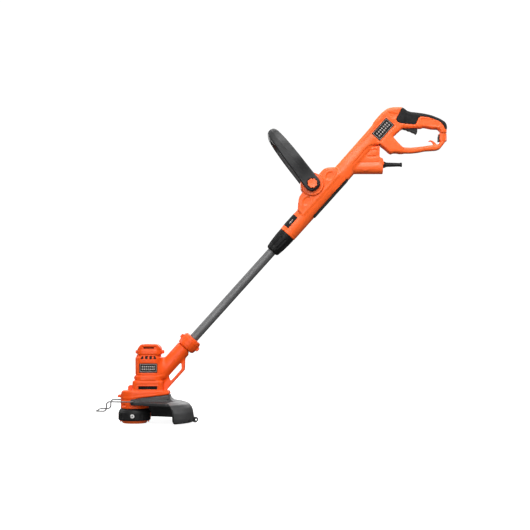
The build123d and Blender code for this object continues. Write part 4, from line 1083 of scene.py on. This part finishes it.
def build_pad():
    """Ribbed pad along the underside."""
    space = Space((532, -17, -27.5), (673, 17, -19.5), 0.8, SHAFT_FOOT, SHAFT_ANGLE)
    s, y, t = space.axes
    pad = both(outline(PAD, s, t, 2), np.abs(y) - 16, 1.5)
    ribs = np.clip(np.cos(2 * pi * s / 5.5) * 1.6, 0, 1) * np.clip((13 - np.abs(y)) / 1.5, 0, 1)
    pad = pad + 0.9 * ribs * (t < -23)
    piece("underside_pad_moulding", space, pad, "upper_housing", "soft_rubber", ["underside_pad"])


def build_boot():
    """Tapered cord boot with shallow bend rings."""
    space = Space((695, -10, 710.5), (741.5, 10, 730.5), 0.5)
    x, y, z = space.axes
    r = np.hypot(y, z - CORD_Z)
    boot = lathe([(-9, 702.1), (6.5, 702.1), (5.2, 741), (-9, 741)], r, x)
    boot = boot + 0.25 * np.clip(np.cos(2 * pi * (x - 702) / 6.5) * 2 - 0.6, 0, 1) * (np.abs(x - 720) < 17)
    boot = both(boot, x - 741, 0.5)
    piece("cord_boot_moulding", space, boot, "upper_housing", "cord_rubber", ["cord_boot"])


def badge(name, body, node, place, tilt, outer, half_u, half_v):
    """A dark name plate with a light frame line and two rows of plain diamonds, and no lettering."""
    low, high = (-half_u - 1, outer - 1, -half_v - 1), (half_u + 1, outer + 2.2, half_v + 1)
    space = Space(low, high, 0.4, place, tilt)
    u, y, v = space.axes
    plate = both(box2(u, v, half_u, half_v, 2.2), between(y, outer, outer + 1.3), 0.35)
    piece(f"{name}_plate", space, plate, body, "black_plastic", [node])
    rim = np.abs(box2(u, v, half_u - 2.4, half_v - 2.4, 1.6)) - 0.55
    pitch = (half_u - 6) / 3.5
    column = np.abs(np.mod(u + half_u - 6, pitch) - pitch / 2) + 30 * (np.abs(u) > half_u - 6)
    diamond = (column + np.abs(np.abs(v) - 0.28 * half_v) * 0.8 - 0.38 * pitch) * 0.78
    mark = both(np.minimum(rim, diamond), between(y, outer - 0.3, outer + 0.5), 0.1)
    piece(f"{name}_frame", space, mark, body, "badge_plate")


def build_badges():
    badge("rear_badge", "upper_housing", "rear_badge", BADGE_PLACE, SHAFT_ANGLE, -20.1, 30, 15)
    badge("head_badge", "head", "head_badge", HEAD_BADGE, 0, -36.1, 24.8, 12.8)


# ---------------------------------------------------------------- stage
def white_stage():
    """Pale floor and a round pale backdrop, which don't tint or darken the object."""
    for name, radius, profile in (
        ("floor", 7.0, [(0.0, -0.0005), (3.0, -0.0005), (7.0, -0.0005)]),
        ("backdrop", 7.0, [(7.0, -0.001), (7.6, 0.15), (8.0, 0.7), (8.1, 2.0), (8.1, 12.0)]),
    ):
        count = 96
        points, quads = [], []
        for ring_r, height in profile:
            for k in range(count):
                points.append((ring_r * cos(2 * pi * k / count), ring_r * sin(2 * pi * k / count), height))
        for row in range(len(profile) - 1):
            for k in range(count):
                here, there = row * count + k, row * count + (k + 1) % count
                quads.append((here, there, there + count, here + count))
        made = mesh_object(name, np.array(points) / MM, np.array(quads))
        made.visible_glossy = False
        made.visible_diffuse = False
        sh = Shader(name)
        shade = sh.tint(sh.between(sh.noise(1.5, 2), 0, 1), (0.9, 0.9, 0.9), (0.93, 0.93, 0.93))
        sh.put(sh.principled.inputs["Emission Color"], shade)
        dim = sh.tint(sh.noise(2, 2), (0.3, 0.3, 0.3), (0.33, 0.33, 0.33))
        rough = sh.between(sh.noise(20, 2), 0.8, 0.95)
        sh.finish(dim, rough, sh.bump(sh.noise(300, 2), 0.05), Emission_Strength=1.0)
        made.data.materials.append(sh.material)


def area_light(name, place, target, size, power, colour=(1, 1, 1)):
    data = bpy.data.lights.new(name, "AREA")
    data.shape = "RECTANGLE"
    data.size, data.size_y = size
    data.energy = power
    data.color = colour
    lamp = bpy.data.objects.new(name, data)
    bpy.context.scene.collection.objects.link(lamp)
    lamp.location = place
    lamp.rotation_euler = (Vector(target) - Vector(place)).to_track_quat("-Z", "Y").to_euler()


def light_scene():
    """Soft studio light: a big key above and in front, side fills and a dim sky."""
    target = (0.37, 0.0, 0.42)
    area_light("key", (0.9, -2.6, 2.6), target, (2.4, 1.6), 95)
    area_light("front_fill", (-0.9, -3.2, 1.1), target, (1.8, 1.8), 32)
    area_light("top", (0.4, 0.3, 3.0), target, (2.6, 2.0), 55)
    area_light("right_rim", (3.0, 0.6, 1.3), target, (1.2, 1.8), 26)
    area_light("left_rim", (-2.6, 0.9, 1.3), target, (1.2, 1.8), 26)
    area_light("back_fill", (0.4, 3.2, 1.6), target, (2.4, 1.6), 40)
    area_light("low_fill", (0.05, -2.2, 0.1), (0.06, 0.0, 0.02), (1.4, 0.16), 9)
    world = bpy.data.worlds.new("sky")
    bpy.context.scene.world = world
    world.use_nodes = True
    nodes, links = world.node_tree.nodes, world.node_tree.links
    ramp = nodes.new("ShaderNodeValToRGB")
    split = nodes.new("ShaderNodeSeparateXYZ")
    links.new(nodes.new("ShaderNodeTexCoord").outputs["Generated"], split.inputs[0])
    scale = nodes.new("ShaderNodeMapRange")
    scale.inputs["From Min"].default_value = -1
    links.new(split.outputs["Z"], scale.inputs["Value"])
    links.new(scale.outputs["Result"], ramp.inputs["Fac"])
    ramp.color_ramp.elements[0].color = (0.16, 0.16, 0.16, 1)
    ramp.color_ramp.elements[1].color = (1.1, 1.1, 1.1, 1)
    for position, grey in ((0.46, 0.1), (0.56, 0.12), (0.75, 0.8)):
        ramp.color_ramp.elements.new(position).color = (grey, grey, grey, 1)
    links.new(ramp.outputs["Color"], nodes["Background"].inputs["Color"])
    nodes["Background"].inputs["Strength"].default_value = 0.8


def place_camera():
    """Camera at the height of the cutting head's top, looking slightly up along +Y."""
    data = bpy.data.cameras.new("camera")
    camera = bpy.data.objects.new("camera", data)
    bpy.context.scene.collection.objects.link(camera)
    place, target = Vector((0.3625, -3.55, 0.2983)), Vector((0.3625, 0.0, 0.4393))
    view_width = 1.481
    camera.location = place
    camera.rotation_euler = (target - place).to_track_quat("-Z", "Y").to_euler()
    data.lens = data.sensor_width * (target - place).length / view_width
    bpy.context.scene.camera = camera


dress_cad_nodes()
build_upper_housing()
build_grip()
build_bail()
build_bail_buttons()
build_twist_collar()
build_head_collar()
build_head_shells()
build_motor_cap()
build_vent_trim()
build_gear_casing()
build_drum()
build_spool_cap()
build_guard()
build_guard_edge_shade()
build_cutter()
build_trigger()
build_inlay()
build_pad()
build_boot()
build_badges()
white_stage()
light_scene()
place_camera()
bpy.context.scene.view_settings.view_transform = "Standard"
